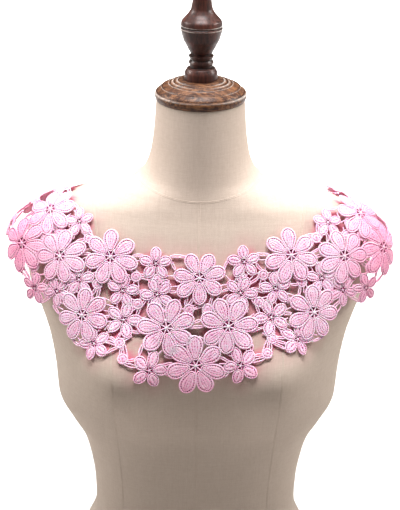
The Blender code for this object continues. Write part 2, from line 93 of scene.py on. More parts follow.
def lengthAlong(points):  # the distance of each point from the first, along the line
    return np.concatenate([[0], np.cumsum(np.linalg.norm(np.diff(points, axis=0), axis=1))])


def smoothColumn(keys, values, at):  # a curve through a table's rows that never overshoots one
    keys, values, at = (np.asarray(a, float) for a in (keys, values, at))
    steps = np.diff(keys)
    slopes = np.diff(values) / steps
    tangents = np.zeros(len(keys))
    for i in range(1, len(keys) - 1):
        before, after = slopes[i - 1], slopes[i]
        if before * after > 0:
            weightA = 2 * steps[i] + steps[i - 1]
            weightB = steps[i] + 2 * steps[i - 1]
            tangents[i] = (weightA + weightB) / (weightA / before + weightB / after)
    tangents[0], tangents[-1] = slopes[0], slopes[-1]
    row = np.clip(np.searchsorted(keys, at, side="right") - 1, 0, len(keys) - 2)
    span = steps[row]
    t = (at - keys[row]) / span
    return ((1 + 2 * t) * (1 - t) ** 2 * values[row] + t * (1 - t) ** 2 * span * tangents[row]
            + t * t * (3 - 2 * t) * values[row + 1] + t * t * (t - 1) * span * tangents[row + 1])


# node helpers

class Nodes:  # a node tree with short ways to add and join nodes
    def __init__(self, tree):
        self.tree = tree

    def add(self, kind, inputs=None, **settings):
        node = self.tree.nodes.new(kind)
        for key, value in settings.items():
            setattr(node, key, value)
        return self.fill(node, inputs or {})

    def fill(self, node, inputs):
        for key, value in inputs.items():
            self.feed(node.inputs[key], value)
        return node

    def feed(self, socket, value):
        if isinstance(value, bpy.types.NodeSocket):
            self.tree.links.new(value, socket)
        else:
            socket.default_value = value

    def math(self, operation, *values):
        return self.add("ShaderNodeMath", dict(enumerate(values)), operation=operation).outputs[0]

    def plus(self, first, *others):
        for other in others:
            first = self.math("ADD", first, other)
        return first

    def less(self, first, other):
        return self.math("SUBTRACT", first, other)

    def times(self, first, *others):
        for other in others:
            first = self.math("MULTIPLY", first, other)
        return first

    def arches(self, value):  # a row of half rounds, one to each whole number
        return self.math("ABSOLUTE", self.math("SINE", self.times(value, math.pi)))

    def vector(self, operation, *values):
        node = self.add("ShaderNodeVectorMath", dict(enumerate(values)), operation=operation)
        return node.outputs["Vector"]

    def scaled(self, vector, scale):
        return self.add("ShaderNodeVectorMath", {0: vector, "Scale": scale}, operation="SCALE").outputs[0]

    def combine(self, x=0.0, y=0.0, z=0.0):
        return self.add("ShaderNodeCombineXYZ", {"X": x, "Y": y, "Z": z}).outputs[0]

    def separate(self, vector):
        return self.add("ShaderNodeSeparateXYZ", {"Vector": vector}).outputs

    def between(self, value, low, high, outLow=0.0, outHigh=1.0):
        return self.add("ShaderNodeMapRange", dict(enumerate((value, low, high, outLow, outHigh)))).outputs[0]

    def noise(self, place, scale, detail=2.0, rough=0.5, output=0):
        return self.add("ShaderNodeTexNoise", {"Vector": place, "Scale": scale, "Detail": detail,
                                               "Roughness": rough}).outputs[output]

    def uv(self):
        return self.add("ShaderNodeUVMap", uv_map="UVMap").outputs[0]

    def place(self):
        return self.add("ShaderNodeTexCoord").outputs["Object"]

    def attribute(self, name):
        return self.add("ShaderNodeAttribute", attribute_name=name).outputs["Fac"]

    def mix(self, factor, a, b, blend="MIX"):
        node = self.add("ShaderNodeMix", {0: factor, 6: a, 7: b}, data_type="RGBA", blend_type=blend)
        return node.outputs[2]

    def ramp(self, value, stops):  # stops: place on the ramp and colour
        node = self.add("ShaderNodeValToRGB", {"Fac": value})
        elements = node.color_ramp.elements
        for number, (at, code) in enumerate((stops[0], stops[-1])):
            elements[number].position, elements[number].color = at, linear(code)
        for at, code in stops[1:-1]:
            elements.new(at).color = linear(code)
        return node.outputs[0]

    def bump(self, height, strength, distance):
        inputs = {"Height": height, "Strength": strength, "Distance": distance}
        return self.add("ShaderNodeBump", inputs).outputs[0]

    def shapeOf(self, thing):
        return self.add("GeometryNodeObjectInfo", {"Object": thing}).outputs["Geometry"]

    def named(self, name, kind="FLOAT"):
        return self.add("GeometryNodeInputNamedAttribute", {"Name": name}, data_type=kind).outputs[0]

    def store(self, shape, name, value, kind="FLOAT", domain="POINT"):
        return self.add("GeometryNodeStoreNamedAttribute", {"Geometry": shape, "Name": name, "Value": value},
                        data_type=kind, domain=domain).outputs[0]

    def moved(self, shape, **inputs):
        return self.add("GeometryNodeSetPosition", {"Geometry": shape, **inputs}).outputs[0]

    def instances(self, points, shape, turn, size):
        inputs = {"Points": points, "Instance": shape, "Rotation": turn, "Scale": size}
        return self.add("GeometryNodeInstanceOnPoints", inputs).outputs[0]

    def joined(self, shapes):
        node = self.add("GeometryNodeJoinGeometry")
        for shape in shapes:
            self.feed(node.inputs[0], shape)
        return node.outputs[0]

    def evenCurve(self, edges, step):
        inputs = {"Curve": self.add("GeometryNodeMeshToCurve", {"Mesh": edges}).outputs[0], "Length": step}
        return self.add("GeometryNodeResampleCurve", inputs, mode="LENGTH").outputs[0]

    def thread(self, curve, radius, sides):  # a closed tube; "runs" keeps the length along it
        runs = self.add("GeometryNodeSplineParameter").outputs["Length"]
        ring = self.add("GeometryNodeCurvePrimitiveCircle", {"Resolution": sides, "Radius": radius}).outputs[0]
        inputs = {"Curve": self.store(curve, "runs", runs), "Profile Curve": ring, "Fill Caps": True}
        return self.add("GeometryNodeCurveToMesh", inputs).outputs[0]

    def threadFinish(self, shape, u):  # a UV whose V is the length along the thread, and smooth shading
        mapped = self.store(shape, "UVMap", self.combine(u, self.named("runs")), "FLOAT2", "CORNER")
        return self.add("GeometryNodeSetShadeSmooth", {"Geometry": mapped}).outputs[0]

    def finish(self, result, shape, material):
        real = self.add("GeometryNodeRealizeInstances", {"Geometry": shape}).outputs[0]
        painted = self.add("GeometryNodeSetMaterial", {"Geometry": real, "Material": material}).outputs[0]
        self.feed(result[0], painted)


def newGroup(name, kind, inputs, outputs):  # a socket's type is given in words, or follows from its default
    tree = bpy.data.node_groups.new(name, kind)
    types = {int: "Int", float: "Float", tuple: "Vector"}
    for way, sockets in (("INPUT", inputs), ("OUTPUT", outputs)):
        for label, given in sockets.items():
            words = given if isinstance(given, str) else types[type(given)]
            socket = tree.interface.new_socket(label, in_out=way, socket_type="NodeSocket" + words)
            if given is not words:
                socket.default_value = given
    n = Nodes(tree)
    return tree, n, n.add("NodeGroupInput").outputs, n.add("NodeGroupOutput").inputs


def newMaterial(name):
    material = bpy.data.materials.new(name)
    material.use_nodes = True
    return material, Nodes(material.node_tree), material.node_tree.nodes["Principled BSDF"]


def runTree(name, mesh, tree, values):  # run a geometry tree on a mesh and give the plain mesh that it makes
    holder = addObject(name + "Source", mesh)
    modifier = holder.modifiers.new(name, "NODES")
    modifier.node_group = tree
    for item in tree.interface.items_tree:
        if item.item_type == "SOCKET" and item.in_out == "INPUT" and item.name in values:
            modifier[item.identifier] = values[item.name]
    bpy.context.view_layer.update()
    made = bpy.data.meshes.new_from_object(holder.evaluated_get(bpy.context.evaluated_depsgraph_get()))
    made.name = name
    bpy.data.objects.remove(holder)
    return made


# camera: the photograph's view

cameraSettings = {"place": (0, -1.35, 1.0989), "down": 23.233, "roll": 0.8, "lens": 96.56, "sensor": 36,
                  "shiftX": 1.5 / 510}
cameraData = bpy.data.cameras.new("photoCamera")
camera = addObject("photoCamera", cameraData)
cameraData.sensor_fit = "VERTICAL"
cameraData.sensor_width = cameraData.sensor_height = cameraSettings["sensor"]
cameraData.lens = cameraSettings["lens"]
cameraData.shift_x = cameraSettings["shiftX"]
camera.matrix_world = (Matrix.Translation(cameraSettings["place"])
                       @ Matrix.Rotation(math.radians(90 - cameraSettings["down"]), 4, "X")
                       @ Matrix.Rotation(math.radians(cameraSettings["roll"]), 4, "Z"))
scene.camera = camera


# shared shader groups

def buildWeave():  # plain weave from a UV in metres: threads over and under, uneven in thickness and tone
    tree, n, given, result = newGroup("weave", "ShaderNodeTree",
                                      {"UV": "Vector", "Pitch": 0.001, "Unevenness": 0.3, "Slubs": 900.0,
                                       "Stretch": 0.16, "Wobble": 0.0016},
                                      {"Height": "Float", "Tone": "Float"})
    uv = given["UV"]
    parts = n.separate(uv)
    wobble = n.times(n.less(n.noise(uv, 45.0), 0.5), given["Wobble"])
    ways = (n.plus(parts[0], wobble), n.less(parts[1], wobble))
    ways = [n.math("DIVIDE", way, given["Pitch"]) for way in ways]
    over = n.between(n.times(*(n.math("COSINE", n.times(way, math.pi)) for way in ways)), -0.25, 0.25)
    long = (n.combine(1.0, given["Stretch"], 1.0), n.combine(given["Stretch"], 1.0, 1.0))
    slubs = [n.noise(n.vector("MULTIPLY", uv, stretch), given["Slubs"]) for stretch in long]
    heights = [n.plus(n.arches(way), n.times(n.less(slub, 0.5), given["Unevenness"]))
               for way, slub in zip(ways, slubs)]
    under = n.less(1.0, over)
    height, slub = (n.plus(n.times(warp, over), n.times(weft, under)) for warp, weft in (heights, slubs))
    n.feed(result["Height"], height)
    n.feed(result["Tone"], n.plus(n.times(height, 0.35), n.times(slub, 0.9)))
    return tree


def buildWoodGrain():  # long streaks, fine pores and slow tone changes, along one way of the vector
    tree, n, given, result = newGroup("woodGrain", "ShaderNodeTree",
                                      {"Vector": "Vector", "Stretch": (1, 1, 0.1), "Streaks": 60.0,
                                       "Pores": 900.0, "Waviness": 0.006},
                                      {"Grain": "Float", "Pore": "Float", "Cloud": "Float"})
    long = n.vector("MULTIPLY", given["Vector"], given["Stretch"])
    bent = n.vector("ADD", long, n.scaled(n.noise(long, 30.0, output="Color"), given["Waviness"]))
    n.feed(result["Grain"], n.between(n.noise(bent, given["Streaks"], 5.0, 0.62), 0.33, 0.67))
    n.feed(result["Pore"], n.between(n.noise(bent, given["Pores"], 2.0, 0.7), 0.55, 0.68))
    n.feed(result["Cloud"], n.noise(given["Vector"], 22.0, 3.0))
    return tree


weaveGroup = buildWeave()
woodGroup = buildWoodGrain()


def linenMaterial():
    look = {"light": "D3C4B7", "dark": "B5A191", "blush": "D4758A", "pitch": 0.00095, "unevenness": 0.9,
            "thickThreads": 420.0, "stretch": 0.07, "clouds": 7.0, "relief": 0.0004, "strength": 0.35,
            "sheen": 0.04, "specular": 0.15}
    material, n, shader = newMaterial("linenCover")
    uv = n.uv()
    weave = n.add("ShaderNodeGroup", {"UV": uv, "Pitch": look["pitch"], "Unevenness": look["unevenness"]},
                  node_tree=weaveGroup).outputs
    each = ((look["stretch"], 1.0, 1.0), (1.0, look["stretch"], 1.0))
    thick = n.plus(*(n.noise(n.vector("MULTIPLY", uv, stretch), look["thickThreads"]) for stretch in each))
    thick = n.between(thick, 0.62, 1.38)
    shade = n.plus(n.times(n.between(weave["Tone"], 0.25, 0.95), 0.5), n.times(thick, 0.22),
                   n.times(n.noise(n.place(), look["clouds"], 3.0), 0.3))
    colour = n.mix(shade, linear(look["dark"]), linear(look["light"]))
    n.fill(shader, {
        # painted shade and pink bounce from the lace, where the lace lies over the cover
        "Base Color": n.mix(n.attribute("blush"), colour, linear(look["blush"])),
        "Roughness": n.between(weave["Height"], 0.0, 1.2, 0.98, 0.85),
        "Sheen Weight": look["sheen"], "Sheen Roughness": 0.5, "Specular IOR Level": look["specular"],
        "Normal": n.bump(n.plus(weave["Height"], n.times(thick, 0.6)), look["strength"], look["relief"])})
    return material


woods = {  # "stretch" is least along the grain; "streaks" says how fine they are, "flecks" how strong
    "walnutFinial": {"stretch": (1, 1, 0.12), "streaks": 150.0, "dark": "1C0B08", "mid": "3B1C15",
                     "light": "5E3126", "coat": 0.25, "flecks": 0.35},
    "walnutCap": {"stretch": (0.4, 1, 1), "streaks": 170.0, "dark": "1E0E08", "mid": "432415",
                  "light": "855A3A", "coat": 0.1, "flecks": 0.8},
    "baseBoard": {"stretch": (0.1, 1, 1), "streaks": 70.0, "dark": "33201A", "mid": "4F362B",
                  "light": "6B4B3A", "coat": 0.0, "flecks": 0.2}}
# painted highlights on the turned edges and painted shade in their grooves
paintedRingLight = {"paintedGlint": "F2E8DE", "paintedGrooveShade": "160A06", "most": 0.8}


def woodMaterial(name):  # the rings' light value is above nothing on the edges, which get a painted highlight, and below it in the grooves, which get painted shade
    look = woods[name]
    material, n, shader = newMaterial(name)
    place = n.place()
    wood = n.add("ShaderNodeGroup", {"Vector": place, "Stretch": look["stretch"], "Streaks": look["streaks"]},
                 node_tree=woodGroup).outputs
    colour = n.ramp(wood["Grain"], [(0.0, look["dark"]), (0.5, look["mid"]), (1.0, look["light"])])
    colour = n.mix(n.times(wood["Pore"], 0.6), colour, linear(look["dark"]))
    colour = n.mix(n.times(wood["Cloud"], 0.35), colour, linear(look["mid"]))
    fleck = n.between(n.noise(n.vector("MULTIPLY", place, look["stretch"]), 420.0, 3.0, 0.7), 0.5, 0.62)
    colour = n.mix(n.times(fleck, look["flecks"]), colour, linear(look["light"]))
    worn = n.attribute("worn")
    patchy = n.between(n.noise(place, 260.0), 0.3, 0.6, 0.35, 1.0)
    paintedGlint = n.times(n.between(worn, 0.35, 1.2, 0.0, paintedRingLight["most"]), patchy)
    colour = n.mix(paintedGlint, colour, linear(paintedRingLight["paintedGlint"]))
    colour = n.mix(n.between(worn, -0.2, -1.0, 0.0, paintedRingLight["most"]), colour, linear(paintedRingLight["paintedGrooveShade"]))
    n.fill(shader, {"Base Color": colour, "Roughness": n.between(wood["Pore"], 0.0, 1.0, 0.48, 0.68),
                    "Specular IOR Level": 0.3, "Coat Weight": look["coat"], "Coat Roughness": 0.3,
                    "Normal": n.bump(n.less(wood["Grain"], wood["Pore"]), 0.12, 0.0004)})
    return material


def laceMaterial():  # "relief" is low in the grooves and high on the crests: the tones give painted shade in the grooves and painted highlights on the crests; V runs across the satin stitches
    look = {"tones": [(0.1, "6A0A3A"), (0.28, "AE3A70"), (0.44, "F09CC4"), (0.62, "FFCAE4"), (0.82, "FFD8EC"),
                      (1.0, "FFE6F3")], "shadeTint": "EEC0CE", "shadeAmount": 0.85, "pointFrom": 0.47, "pointTo": 0.39,
            "armsFrom": 0.135, "armsTo": 0.185, "thread": 0.00042, "stitch": 0.0032, "eyelets": 0.0029,
            "rim": 0.004, "wander": 0.0007, "mottle": 2.3, "bundle": 1.5, "cloud": 0.8, "ridges": 0.18,
            "relief": 0.0002, "strength": 0.6, "glow": 0.4, "glowReach": 0.0011, "specular": 0.14}
    material, n, shader = newMaterial("laceThread")
    uv, place, relief = n.uv(), n.place(), n.attribute("relief")
    parts = n.separate(uv)
    wander = n.times(n.less(n.noise(place, 160.0), 0.5), look["wander"])
    rows = n.math("DIVIDE", n.plus(parts[1], wander), look["thread"])
    shift = n.add("ShaderNodeTexWhiteNoise", {"W": n.math("FLOOR", rows)}, noise_dimensions="1D").outputs[0]
    stitchEnd = n.between(n.arches(n.plus(n.math("DIVIDE", parts[0], look["stitch"]), shift)), 0.0, 0.22)
    thread = n.times(n.arches(rows), n.plus(0.55, n.times(stitchEnd, 0.45)))
    onPad = n.math("GREATER_THAN", parts[0], look["rim"])  # the eyelets follow the rim, and the pad's length
    run = n.plus(n.times(parts[0], onPad), n.times(parts[1], n.less(1.0, onPad)))
    eyelet = n.times(n.between(relief, 0.5, 0.15), n.math("SINE", n.times(run, math.tau / look["eyelets"])))
    mottle = n.less(n.noise(place, 520.0, 2.0, 0.6), 0.5)
    bundle = n.noise(n.vector("MULTIPLY", uv, (0.22, 1.0, 1.0)), 1100.0, 1.0)  # threads that lie together
    cloud = n.less(n.noise(place, 52.0), 0.5)
    lit = n.plus(relief, n.times(n.less(thread, 0.5), look["ridges"]), eyelet,
                 n.times(mottle, look["mottle"]), n.times(n.less(bundle, 0.5), look["bundle"]),
                 n.times(cloud, look["cloud"]))
    # painted light: the tones run from painted shade in the hollows and grooves to painted highlights on the
    # crests
    colour = n.ramp(n.between(lit, -0.7, 1.4), look["tones"])
    spot = n.separate(place)
    point = n.between(spot[2], look["pointFrom"], look["pointTo"])  # painted shade: darker low on the front, towards the lace's point, and out on the arms
    arms = n.between(n.math("ABSOLUTE", spot[0]), look["armsFrom"], look["armsTo"])
    paintedShade = n.mix(1.0, colour, linear(look["shadeTint"]), "MULTIPLY")
    fibres = n.times(n.noise(place, 2600.0), 0.2)
    n.fill(shader, {
        "Base Color": n.mix(n.times(n.math("MAXIMUM", point, arms), look["shadeAmount"]), colour, paintedShade),
        "Roughness": n.between(thread, 0.0, 1.0, 0.62, 0.4), "Specular IOR Level": look["specular"],
        "Subsurface Weight": look["glow"], "Subsurface Radius": (1.0, 0.5, 0.7),
        "Subsurface Scale": look["glowReach"],
        "Normal": n.bump(n.plus(thread, fibres, mottle), look["strength"], look["relief"])})
    return material


linen = linenMaterial()
finialWood, capWood, boardWood = (woodMaterial(name) for name in woods)
laceThread = laceMaterial()
print("materials built")


# the form's sections

# height, half width, front depth, back depth, squareness of each level section
torsoSections = [
    (0.0123, 0.146, 0.080, 0.092, 2.2), (0.0160, 0.153, 0.087, 0.099, 2.2),
    (0.0280, 0.158, 0.092, 0.104, 2.2), (0.0700, 0.161, 0.094, 0.109, 2.2),
    (0.1200, 0.153, 0.092, 0.104, 2.2), (0.1750, 0.130, 0.085, 0.086, 2.2),
    (0.2200, 0.1138, 0.079, 0.074, 2.2), (0.2500, 0.1148, 0.080, 0.073, 2.2),
    (0.2900, 0.1208, 0.083, 0.079, 2.25), (0.3120, 0.1272, 0.086, 0.084, 2.25),
    (0.3360, 0.1402, 0.090, 0.090, 2.3), (0.3650, 0.1530, 0.097, 0.097, 2.35),
    (0.4000, 0.1552, 0.102, 0.102, 2.4), (0.4420, 0.1615, 0.104, 0.105, 2.4),
    (0.4700, 0.1702, 0.101, 0.104, 2.35), (0.5050, 0.1820, 0.093, 0.100, 2.3),
    (0.5350, 0.1840, 0.083, 0.092, 2.2), (0.5650, 0.1740, 0.070, 0.079, 2.1),
    (0.5850, 0.1480, 0.061, 0.069, 2.0), (0.6020, 0.0930, 0.055, 0.061, 2.0),
    (0.6150, 0.0620, 0.0520, 0.0560, 2.0), (0.6350, 0.0520, 0.0495, 0.0510, 2.0),
    (0.6600, 0.0480, 0.0475, 0.0480, 2.0), (0.6932, 0.0455, 0.0455, 0.0455, 2.0)]
bust = {"height": 0.425, "spacing": 0.170, "swell": 0.034, "spread": 0.052, "riseAbove": 0.048,
        "riseBelow": 0.062}
# the surface that the lace keeps to where it stands off the form
drapeSections = [
    (0.3300, 0.1460, 0.112, 0.080, 2.9), (0.3800, 0.1580, 0.125, 0.090, 2.9),
    (0.4200, 0.1660, 0.122, 0.095, 2.8), (0.4600, 0.1870, 0.112, 0.098, 2.5),
    (0.4950, 0.2020, 0.1000, 0.098, 2.3),
    (0.5250, 0.2080, 0.0880, 0.093, 2.2), (0.5500, 0.2040, 0.0780, 0.085, 2.1),
    (0.5750, 0.1800, 0.0665, 0.074, 2.0), (0.5930, 0.1400, 0.0590, 0.067, 2.0),
    (0.6080, 0.0850, 0.0540, 0.060, 2.0), (0.6300, 0.0520, 0.0500, 0.052, 2.0)]


def sectionLevels(table, bands):  # bands: (top height, rings), at even steps along the outline in each
    outline = np.array([(row[1], row[0]) for row in table])
    along = lengthAlong(outline)
    at = [np.zeros(1)]
    for top, rings in bands:
        end = np.interp(top, outline[:, 1], along)
        at.append(np.linspace(at[-1][-1], end, rings + 1)[1:])
    at = np.concatenate(at)
    return np.stack([smoothColumn(along, column, at) for column in zip(*table)], axis=1)


def bustSwell(x, height):
    rise = bust["riseAbove"] if height > bust["height"] else bust["riseBelow"]
    up = (height - bust["height"]) / rise
    return bust["swell"] * sum(math.exp(-(((x - side * bust["spacing"] / 2) / bust["spread"]) ** 2 + up ** 2))
                               for side in (-1, 1))


def levelRing(section, count, withBust):
    height, halfWidth, front, back, squareness = section
    power = 2 / squareness
    points = []
    for i in range(count):
        turn = 2 * math.pi * i / count
        sine, cosine = math.sin(turn), math.cos(turn)
        x = halfWidth * math.copysign(abs(sine) ** power, sine)
        y = -(front if cosine > 0 else back) * math.copysign(abs(cosine) ** power, cosine)
        if withBust and cosine > 0:
            y -= bustSwell(x, height) * cosine ** 0.5
        points.append((x, y, height))
    return points


def loft(table, bands, count, withBust):
    levels = sectionLevels(table, bands)
    points = [p for section in levels for p in levelRing(section, count, withBust)]
    bottom, top = endFaces(len(levels), count)
    return points, [bottom] + wallFaces(len(levels), count) + [top]


# the linen form

torso = {"rings": [(0.02, 5), (0.300, 42), (0.640, 110), (0.6932, 14)], "around": 160, "sharpFrom": 50}


def buildTorso():  # the UV is in metres, and its join runs down the back
    count = torso["around"]
    points, faces = loft(torsoSections, torso["rings"], count, True)
    mesh = meshFrom("linenForm", points, faces)
    uvLayer = mesh.uv_layers.new(name="UVMap")
    grid = np.array(points).reshape(-1, count, 3)
    steps = np.linalg.norm(np.roll(grid, -1, axis=1) - grid, axis=2)
    around = np.concatenate([np.zeros((len(grid), 1)), np.cumsum(steps, axis=1)], axis=1)
    for polygon in mesh.polygons:
        corners = [mesh.loops[i].vertex_index for i in polygon.loop_indices]
        isEnd = len(corners) > 4
        isBehind = max(c % count for c in corners) > count // 2
        for loop, corner in zip(polygon.loop_indices, corners):
            ring, place = divmod(corner, count)
            x, y, z = points[corner]
            u = around[ring, place or count] - around[ring, count] if isBehind else around[ring, place]
            uvLayer.data[loop].uv = (x, y) if isEnd else (u, z)
    mesh.shade_smooth()
    mesh.set_sharp_from_angle(angle=math.radians(torso["sharpFrom"]))
    mesh.materials.append(linen)
    return addObject("linenForm", mesh), BVHTree.FromPolygons(points, faces)


linenForm, bodyTree = buildTorso()
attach(linenForm, "root")
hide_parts("form_torso")
print("linen form built")


# the cover's seams

seams = {"ridge": 0.0006, "sunk": 0.00034, "apart": 0.0012, "step": 0.004, "sides": 8, "bottom": 0.0125,
         "frontTop": 0.6005, "backTop": 0.607, "armTop": 0.54, "shoulder": (0.172, 0.063), "neck": 0.607,
         "neckDip": 0.0065, "neckRise": 0.006, "outside": 0.5, "above": 0.8, "panelPoints": 90,
         "sidePoints": 80, "shoulderPoints": 30, "neckPoints": 97}
# height, x
princessFront = [(seams["bottom"], 0.098), (0.07, 0.105), (0.12, 0.102), (0.19, 0.086), (0.248, 0.080),
                 (0.3225, 0.0838), (0.4115, 0.0865), (0.464, 0.088), (0.520, 0.094), (0.560, 0.103),
                 (0.592, 0.109)]
princessBack = [(seams["bottom"], 0.098), (0.07, 0.103), (0.12, 0.100), (0.19, 0.084), (0.248, 0.077),
                (0.33, 0.080), (0.41, 0.086), (0.50, 0.091), (0.56, 0.100), (0.592, 0.109)]


def struck(start, way):  # where a straight line first meets the form
    return bodyTree.ray_cast(Vector(start), Vector(way).normalized())[0]


def seamLines():
    lines = []
    bottom, outside = seams["bottom"], seams["outside"]
    middleFront, middleBack = ([(bottom, 0), (seams[top], 0)] for top in ("frontTop", "backTop"))
    for side, table in ((-1, princessFront), (1, princessBack), (-1, middleFront), (1, middleBack)):
        heights, across = zip(*table)
        levels = np.linspace(heights[0], heights[-1], seams["panelPoints"])
        for mirror in ((1, -1) if across[0] else (1,)):
            xs = smoothColumn(heights, across, levels)
            lines.append([struck((mirror * x, side * outside, z), (0, -side, 0)) for x, z in zip(xs, levels)])
    for side in (-1, 1):  # up the side and over the shoulder
        levels = np.linspace(bottom, seams["armTop"], seams["sidePoints"])
        line = [struck((side * outside, 0.0, z), (-side, 0, 0)) for z in levels]
        inwards = np.linspace(*seams["shoulder"], seams["shoulderPoints"])
        lines.append(line + [struck((side * x, 0.0, seams["above"]), (0, 0, -1)) for x in inwards])
    neck = []
    for turn in np.linspace(0, math.tau, seams["neckPoints"]):
        dip = seams["neckDip"] * (0.5 + 0.5 * math.cos(turn))
        z = seams["neck"] - dip + (seams["neckRise"] + dip) * math.sin(turn) ** 2
        way = Vector((math.sin(turn), -math.cos(turn), 0))
        neck.append(struck(way * outside + Vector((0, 0, z)), -way))
    return [[point for point in line if point] for line in lines + [neck]]


def buildSeamTree():  # two low ridges side by side along each line, laid on the form
    tree, n, given, result = newGroup("seamsOnForm", "GeometryNodeTree", {
        "Geometry": "Geometry", "Form": "Object", "Ridge": 0.0005, "Sunk": 0.0003, "Apart": 0.0011,
        "Step": 0.004, "Sides": 8, "Material": "Material"}, {"Geometry": "Geometry"})
    form = n.shapeOf(given["Form"])
    fine = n.evenCurve(given["Geometry"], given["Step"])
    surface = n.add("GeometryNodeProximity", {"Geometry": form}, target_element="FACES").outputs["Position"]
    normal = n.add("GeometryNodeInputNormal").outputs[0]
    position = n.add("GeometryNodeInputPosition").outputs[0]
    sampled = {"Mesh": form, "Value": normal, "Sample Position": position}
    away = n.add("GeometryNodeSampleNearestSurface", sampled, data_type="FLOAT_VECTOR").outputs[0]
    across = n.vector("CROSS_PRODUCT", n.add("GeometryNodeInputTangent").outputs[0], away)
    sunk = n.scaled(away, n.times(given["Sunk"], -1.0))
    tubes = []
    for side in (-0.5, 0.5):
        aside = n.vector("ADD", surface, n.scaled(across, n.times(given["Apart"], side)))
        laid = n.moved(fine, Position=n.vector("ADD", aside, sunk))
        tubes.append(n.thread(laid, given["Ridge"], given["Sides"]))
    n.finish(result, n.threadFinish(n.joined(tubes), 0.0003), given["Material"])
    return tree


def buildSeams():
    mesh = runTree("linenSeams", meshOfLines("seamEdges", seamLines()), buildSeamTree(), {
        "Form": linenForm, "Ridge": seams["ridge"], "Sunk": seams["sunk"], "Apart": seams["apart"],
        "Step": seams["step"], "Sides": seams["sides"], "Material": linen})
    mesh.attributes.remove(mesh.attributes["runs"])
    return addObject("linenSeams", mesh)


linenSeams = buildSeams()
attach(linenSeams, "root")
print("seams laid,", len(linenSeams.data.polygons), "faces")


# turned wood

# height, radius and painted light of each ring of the turned profiles, bottom to top: above nothing a painted
# highlight on an edge, below it painted shade in a groove
capRings = [
    (0.6935, 0.0455, 0), (0.6955, 0.0466, 0), (0.6985, 0.0471, 0.2), (0.7008, 0.0468, 1),
    (0.7020, 0.0459, 0.5), (0.7014, 0.0450, -1), (0.7030, 0.0442, 0), (0.7060, 0.0414, 0),
    (0.7070, 0.0404, 0.8), (0.7062, 0.0395, -1), (0.7076, 0.0387, 0), (0.7096, 0.0340, 0),
    (0.7106, 0.0328, 1), (0.7096, 0.0317, -1), (0.7110, 0.0308, 0.3), (0.7122, 0.0284, 0.9),
    (0.7112, 0.0273, -1), (0.7126, 0.0264, 0.2), (0.7134, 0.0238, 0.9), (0.7126, 0.0229, -1),
    (0.7140, 0.0220, 0), (0.7145, 0.0180, -0.6)]
finialRings = [
    (0.7148, 0.0170, -0.5), (0.7202, 0.0169, 0), (0.7262, 0.0145, 0.5), (0.7275, 0.0114, -1),
    (0.7295, 0.0118, 0), (0.7320, 0.0128, 0.6), (0.7340, 0.0120, 0), (0.7355, 0.0112, -1),
    (0.7370, 0.0120, 0), (0.7390, 0.0129, 0.6), (0.7404, 0.0112, 0), (0.7412, 0.0102, -1),
    (0.7425, 0.0113, 0), (0.7467, 0.0138, 0), (0.7510, 0.0159, 0), (0.7552, 0.0182, 0),
    (0.7600, 0.0197, 0), (0.7640, 0.0207, 0), (0.7662, 0.0213, 0), (0.7669, 0.0214, 1.5),
    (0.7677, 0.0212, 0), (0.7687, 0.0203, -1), (0.7696, 0.0209, 0), (0.7703, 0.0211, 1.5),
    (0.7710, 0.0210, 0), (0.7743, 0.0203, 0), (0.7786, 0.0169, 0), (0.7828, 0.0133, 0),
    (0.7871, 0.0110, 0), (0.7998, 0.0091, 0), (0.8150, 0.0078, 0), (0.8220, 0.0080, 0),
    (0.8260, 0.0102, 0.3), (0.8310, 0.0120, 0), (0.8360, 0.0122, 0.2), (0.8410, 0.0109, 0),
    (0.8450, 0.0082, 0), (0.8475, 0.0040, 0)]
turning = {"capStep": 0.0006, "capSides": 120, "finialStep": 0.0008, "finialSides": 96, "sharpFrom": 34}


def finerRings(rings, step):
    table = np.array(rings)
    along = lengthAlong(table[:, :2])
    at = np.linspace(0, along[-1], max(2, int(along[-1] / step)) + 1)
    at = np.unique(np.concatenate([at, along]))
    z = np.interp(at, along, table[:, 0])
    return list(zip(z, smoothColumn(along, table[:, 1], at), np.interp(at, along, table[:, 2])))


def turned(name, rings, sides, material):  # a profile spun round the axis, with closed ends
    turns = [math.tau * i / sides for i in range(sides)]
    points = [(r * math.cos(turn), r * math.sin(turn), z) for z, r, _ in rings for turn in turns]
    mesh = meshFrom(name, points, wallFaces(len(rings), sides) + endFaces(len(rings), sides))
    # the painted highlights on the edges are brightest at left and right
    worn = [edge * (0.45 + 0.55 * abs(math.cos(turn)) ** 1.5 if edge > 0 else 1)
            for _, _, edge in rings for turn in turns]
    setPointValues(mesh, "worn", worn)
    mesh.shade_smooth()
    mesh.set_sharp_from_angle(angle=math.radians(turning["sharpFrom"]))
    mesh.materials.append(material)
    return addObject(name, mesh)


neckCap = turned("neckCap", finerRings(capRings, turning["capStep"]), turning["capSides"], capWood)
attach(neckCap, "root")
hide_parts("neck_cap")
knobRings = finerRings(finialRings, turning["finialStep"])
finial = turned("finialTurning", knobRings, turning["finialSides"], finialWood)
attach(finial, "root")
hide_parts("finial")
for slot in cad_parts["form_base"].material_slots:
    slot.material = boardWood
print("turned wood built")


# the surface that the lace keeps to

layout = {"centre": Vector((0, 0, 0.46)), "radius": 0.15, "clearance": 0.0007, "blend": 0.006,
          "steepest": 0.4, "round": 130, "low": -30, "high": 62, "step": 1.25, "apart": 0.004, "rings": 90,
          "around": 160}
degree = math.radians(1) * layout["radius"]
outerBands = [(drapeSections[-1][0], layout["rings"])]
outerTree = BVHTree.FromPolygons(*loft(drapeSections, outerBands, layout["around"], False))


def directionOf(place):
    turn, rise = place[0] / layout["radius"], place[1] / layout["radius"]
    return Vector((math.sin(turn) * math.cos(rise), -math.cos(turn) * math.cos(rise), math.sin(rise)))


